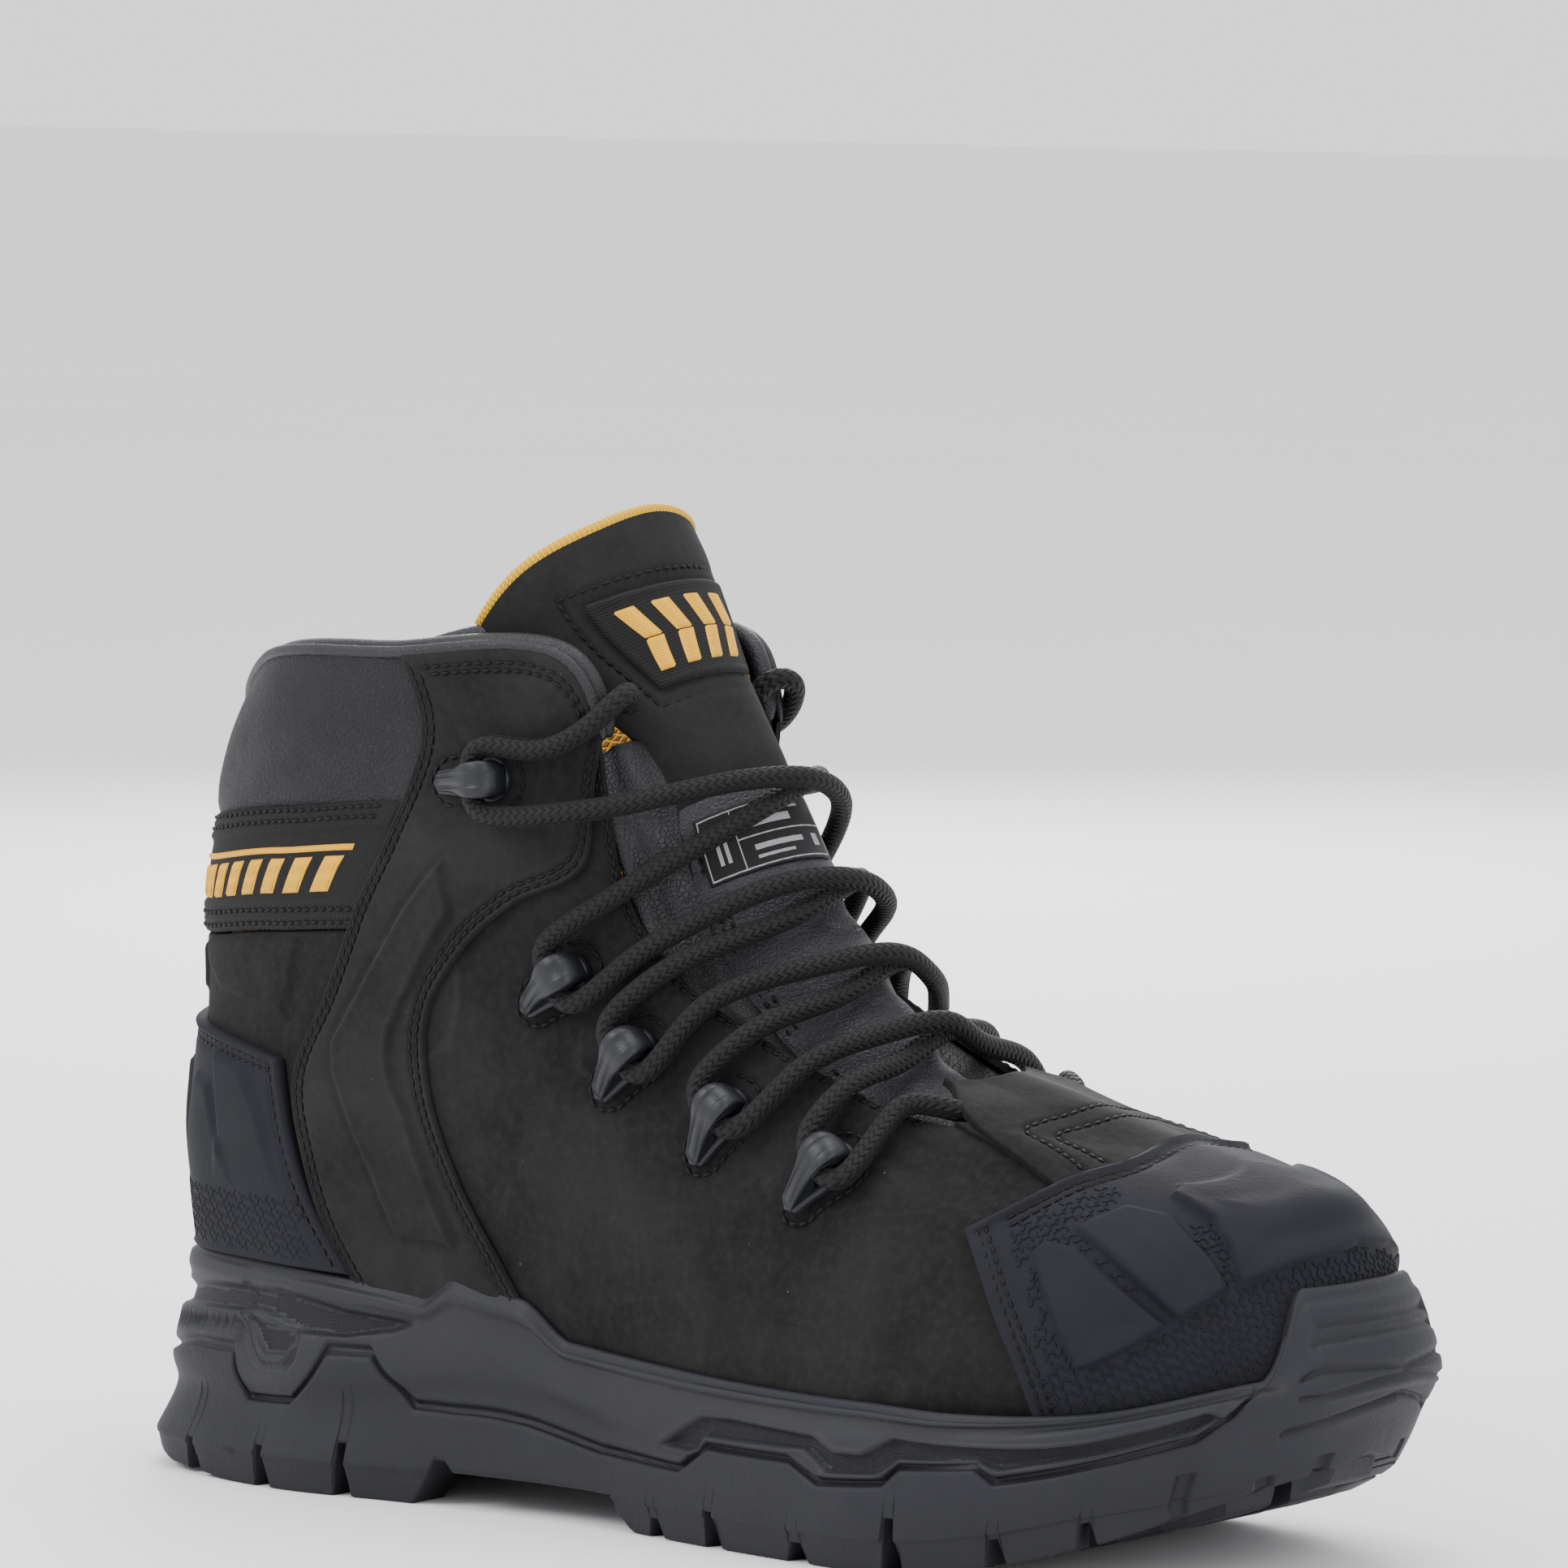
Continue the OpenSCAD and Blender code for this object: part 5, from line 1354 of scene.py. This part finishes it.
def hook_shape():
    """The claw: rings of 88 points on an arch of 44 sections, with two grooves along its top."""
    share = np.linspace(0, 1, 44)
    c = along(np.array(HOOK_ARCH), share)
    ang = np.linspace(0, 2 * np.pi, 88, endpoint=False)
    yy, zz = (np.sign(x) * np.abs(x) ** 0.5 for x in (np.cos(ang), np.sin(ang)))
    mid, half = (c[:, 0:2] + c[:, 2:4]) / 2, (c[:, 0:2] - c[:, 2:4]) / 2
    wide = c[:, 4:5]
    ends = ramp(0.0, 0.2, share)[:, None] * ramp(0.9, 0.72, share)[:, None]
    groove = 0.6 * bell(np.abs(yy[None]) * wide - 1.2, 0.26) * (np.sin(ang) > 0.2)[None] * ends
    k = zz[None] * (1 - 0.10 * np.abs(yy[None]) ** 2) - groove / np.linalg.norm(half, axis=1, keepdims=True)
    side = yy[None] * wide * (0.93 + 0.07 * np.abs(zz[None]))
    pts = np.stack([mid[:, 0:1] + half[:, 0:1] * k, side, mid[:, 1:2] + half[:, 1:2] * k], -1)
    return with_ends(pts).reshape(-1, 3), grid_faces(46, 88, close_j=True)


def hook_base():
    """The drop-shaped foot under the claw."""
    layers = []
    for grow, z in ((0.5, -0.5), (0.5, 0.7), (0.25, 1.15), (-0.3, 1.4), (-3.2, 1.4)):
        r = teardrop(4.2, 2.1, grow, 14)
        if grow < -1:
            r = np.broadcast_to([[0.5, 0.0]], r.shape)
        layers.append(np.concatenate([r, np.full((len(r), 1), z)], -1))
    g = np.stack(layers)
    return g.reshape(-1, 3), grid_faces(*g.shape[:2], close_j=True)


COLLAR_BASE = GAP + OVERLAY + GAP
for node, hooks, t in (("lace_hooks", HOOKS, GAP), ("collar_hooks", [COLLAR_HOOK], COLLAR_BASE)):
    heap = Heap()
    for s, _ in SIDES:
        for h in hooks:
            axes = [x[None] for x in hook_axes(h, s)]
            for shape in (hook_shape(), hook_base()):
                heap.add(*scatter(shape, L(s * h[0], h[1], t)[None], *axes))
    finish_piece(heap.mesh(node[:-1] + "_claws"), "boot", M["hook"], [node])

# ---------------------------------------------------------------- lace, along its tied route
LACE_D = 4.6
# the route round a hook in its own axes, then over and under on the tongue as (across, up, mm out)
ROUND_HOOK = [[3.6, -7.2, 4.5], [1.5, -4.8, 4.1], [1.5, 4.8, 4.1], [3.6, 7.2, 4.5]]
CROSS_UNDER = [[-0.35, -0.02, 0.8], [0, 0, 0], [0.35, 0.02, 0.8]]
CROSS_OVER = [[-0.35, 0.02, 3.6], [0, 0, 5.4], [0.35, -0.02, 3.6]]
OVER_EDGE = [
    [[2.95, 3.36, 3.4], [3.24, 3.34, 3.4]], [[3.4, 3.4, 3.4], [3.68, 3.38, 3.4]],
    [[3.9, 3.4, 3.4], [4.18, 3.4, 3.4]], [[4.32, 3.44, 3.4], [4.62, 3.56, 3.4]],
    [[5, 3.8, 7.4], [5.3, 3.9, 5.6]]]
CROSS_AT = [0.21, 0.33, 0.45, 0.59]
THROAT = [[0, 3.9, 0], [1.2, 3.88, 0], [1.8, 3.8, 0.3], [2.3, 3.64, 1.8], [2.8, 3.48, 3.2]]
TUCK = [[5.6, 3.7, 5.6], [5.42, 3.96, 4.4], [5.32, 4.2, 2], [5.3, 4.24, -4], [5.3, 4.14, -6.6]]


def spot(q, s):
    """A point of the route over the upper, as (column, row, mm out)."""
    return L(s * q[0], q[1], q[2])


def round_hook(i, s):
    h, t = (HOOKS[i], GAP) if i < 4 else (COLLAR_HOOK, COLLAR_BASE)
    x, y, n = hook_axes(h, s)
    o = L(s * h[0], h[1], t)
    return [o + x * q[0] + y * q[1] * s + n * q[2] for q in ROUND_HOOK]


def crossing(i, points):
    return [T(CROSS_AT[i] + q[1], q[0], LACE_D / 2 + 1.5 + q[2]) for q in points]


def half_lace(s):
    """From the throat up to one tucked end."""
    out = [spot(q, s) for q in THROAT if s > 0 or q[0] > 0]
    for i in range(5):
        side = s if i % 2 == 0 else -s
        out += [spot(OVER_EDGE[i][0], side)] + round_hook(i, side)
        if i < 4:
            out += [spot(OVER_EDGE[i][1], side)]
            out += crossing(i, CROSS_UNDER) if side > 0 else crossing(i, CROSS_OVER)[::-1]
        else:
            out += [spot(q, side) for q in TUCK]
    return out


route = half_lace(-1)[::-1] + half_lace(1)
route = smooth_path(route, 0.9)
for _ in range(14):
    route[1:-1] = route[1:-1] * 0.5 + (route[:-2] + route[2:]) * 0.25
length = arc(route, 0)[-1]
d = norm(np.gradient(route, axis=0))
ups = np.zeros_like(route)
up = norm(np.cross(d[0], [0.3, 0.2, 1.0]))
for i in range(len(route)):
    up = norm(up - (up @ d[i]) * d[i])
    ups[i] = up
o = capped_tube("lace_cord_braid", *sweep(route, ups, circle(LACE_D / 2, 18)))
finish_piece(o, "boot", M["lace"], ["lace"])
print("lace length mm", round(float(length), 1))

finish_piece(stitch.mesh("upper_stitching"), "boot", M["thread"])

# ---------------------------------------------------------------- CAD pieces that stay as they are
KEPT = {
    "shank": "plain", "puncture_plate": "board", "insole_board": "board", "footbed": "bed",
    "collar_foam": "foam", "heel_stiffener": "plain", "steel_toe_cap": "steel", "cap_edge_pad": "guard",
    "ankle_foam_outer": "foam", "ankle_foam_inner": "foam", "tongue_foam": "foam", "rivet_washers": "steel"}
for node, key in KEPT.items():
    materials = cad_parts[node].data.materials
    materials.clear()
    materials.append(M[key])

# ---------------------------------------------------------------- floor and light
fl = bpy.data.meshes.new("floor")
fl.from_pydata([(-9, -9, 0), (9, -9, 0), (9, 9, 0), (-9, 9, 0)], [], [(0, 1, 2, 3)])
floor = linked("floor", fl)
fm = Mat("floor_pale", 0.9)
fm.color(fm.mixc(fm.noise(3, 2), (0.86, 0.86, 0.86), (0.89, 0.89, 0.89)))
floor.data.materials.append(fm.m)

world = bpy.data.worlds.new("studio")
bpy.context.scene.world = world
world.use_nodes = True
world.node_tree.nodes["Background"].inputs[0].default_value = (0.96, 0.97, 1.0, 1)
world.node_tree.nodes["Background"].inputs[1].default_value = 1.5


def area(name, at, look, size, power):
    light = bpy.data.lights.new(name, "AREA")
    light.shape = "RECTANGLE"
    light.size, light.size_y = size
    light.energy = power
    ob = linked(name, light)
    ob.location = at
    ob.rotation_euler = (Vector(look) - Vector(at)).to_track_quat("-Z", "Y").to_euler()


area("key", (-0.7, -1.3, 1.25), (0, 0, 0.08), (0.9, 0.9), 21)
area("top", (0.1, 0.1, 1.6), (0.0, 0, 0.08), (1.3, 0.9), 15)
area("side", (1.5, -0.5, 0.7), (0.05, 0, 0.07), (0.5, 1.1), 8)
area("rim", (-0.9, 1.2, 0.8), (0, 0, 0.1), (0.6, 1.0), 16)
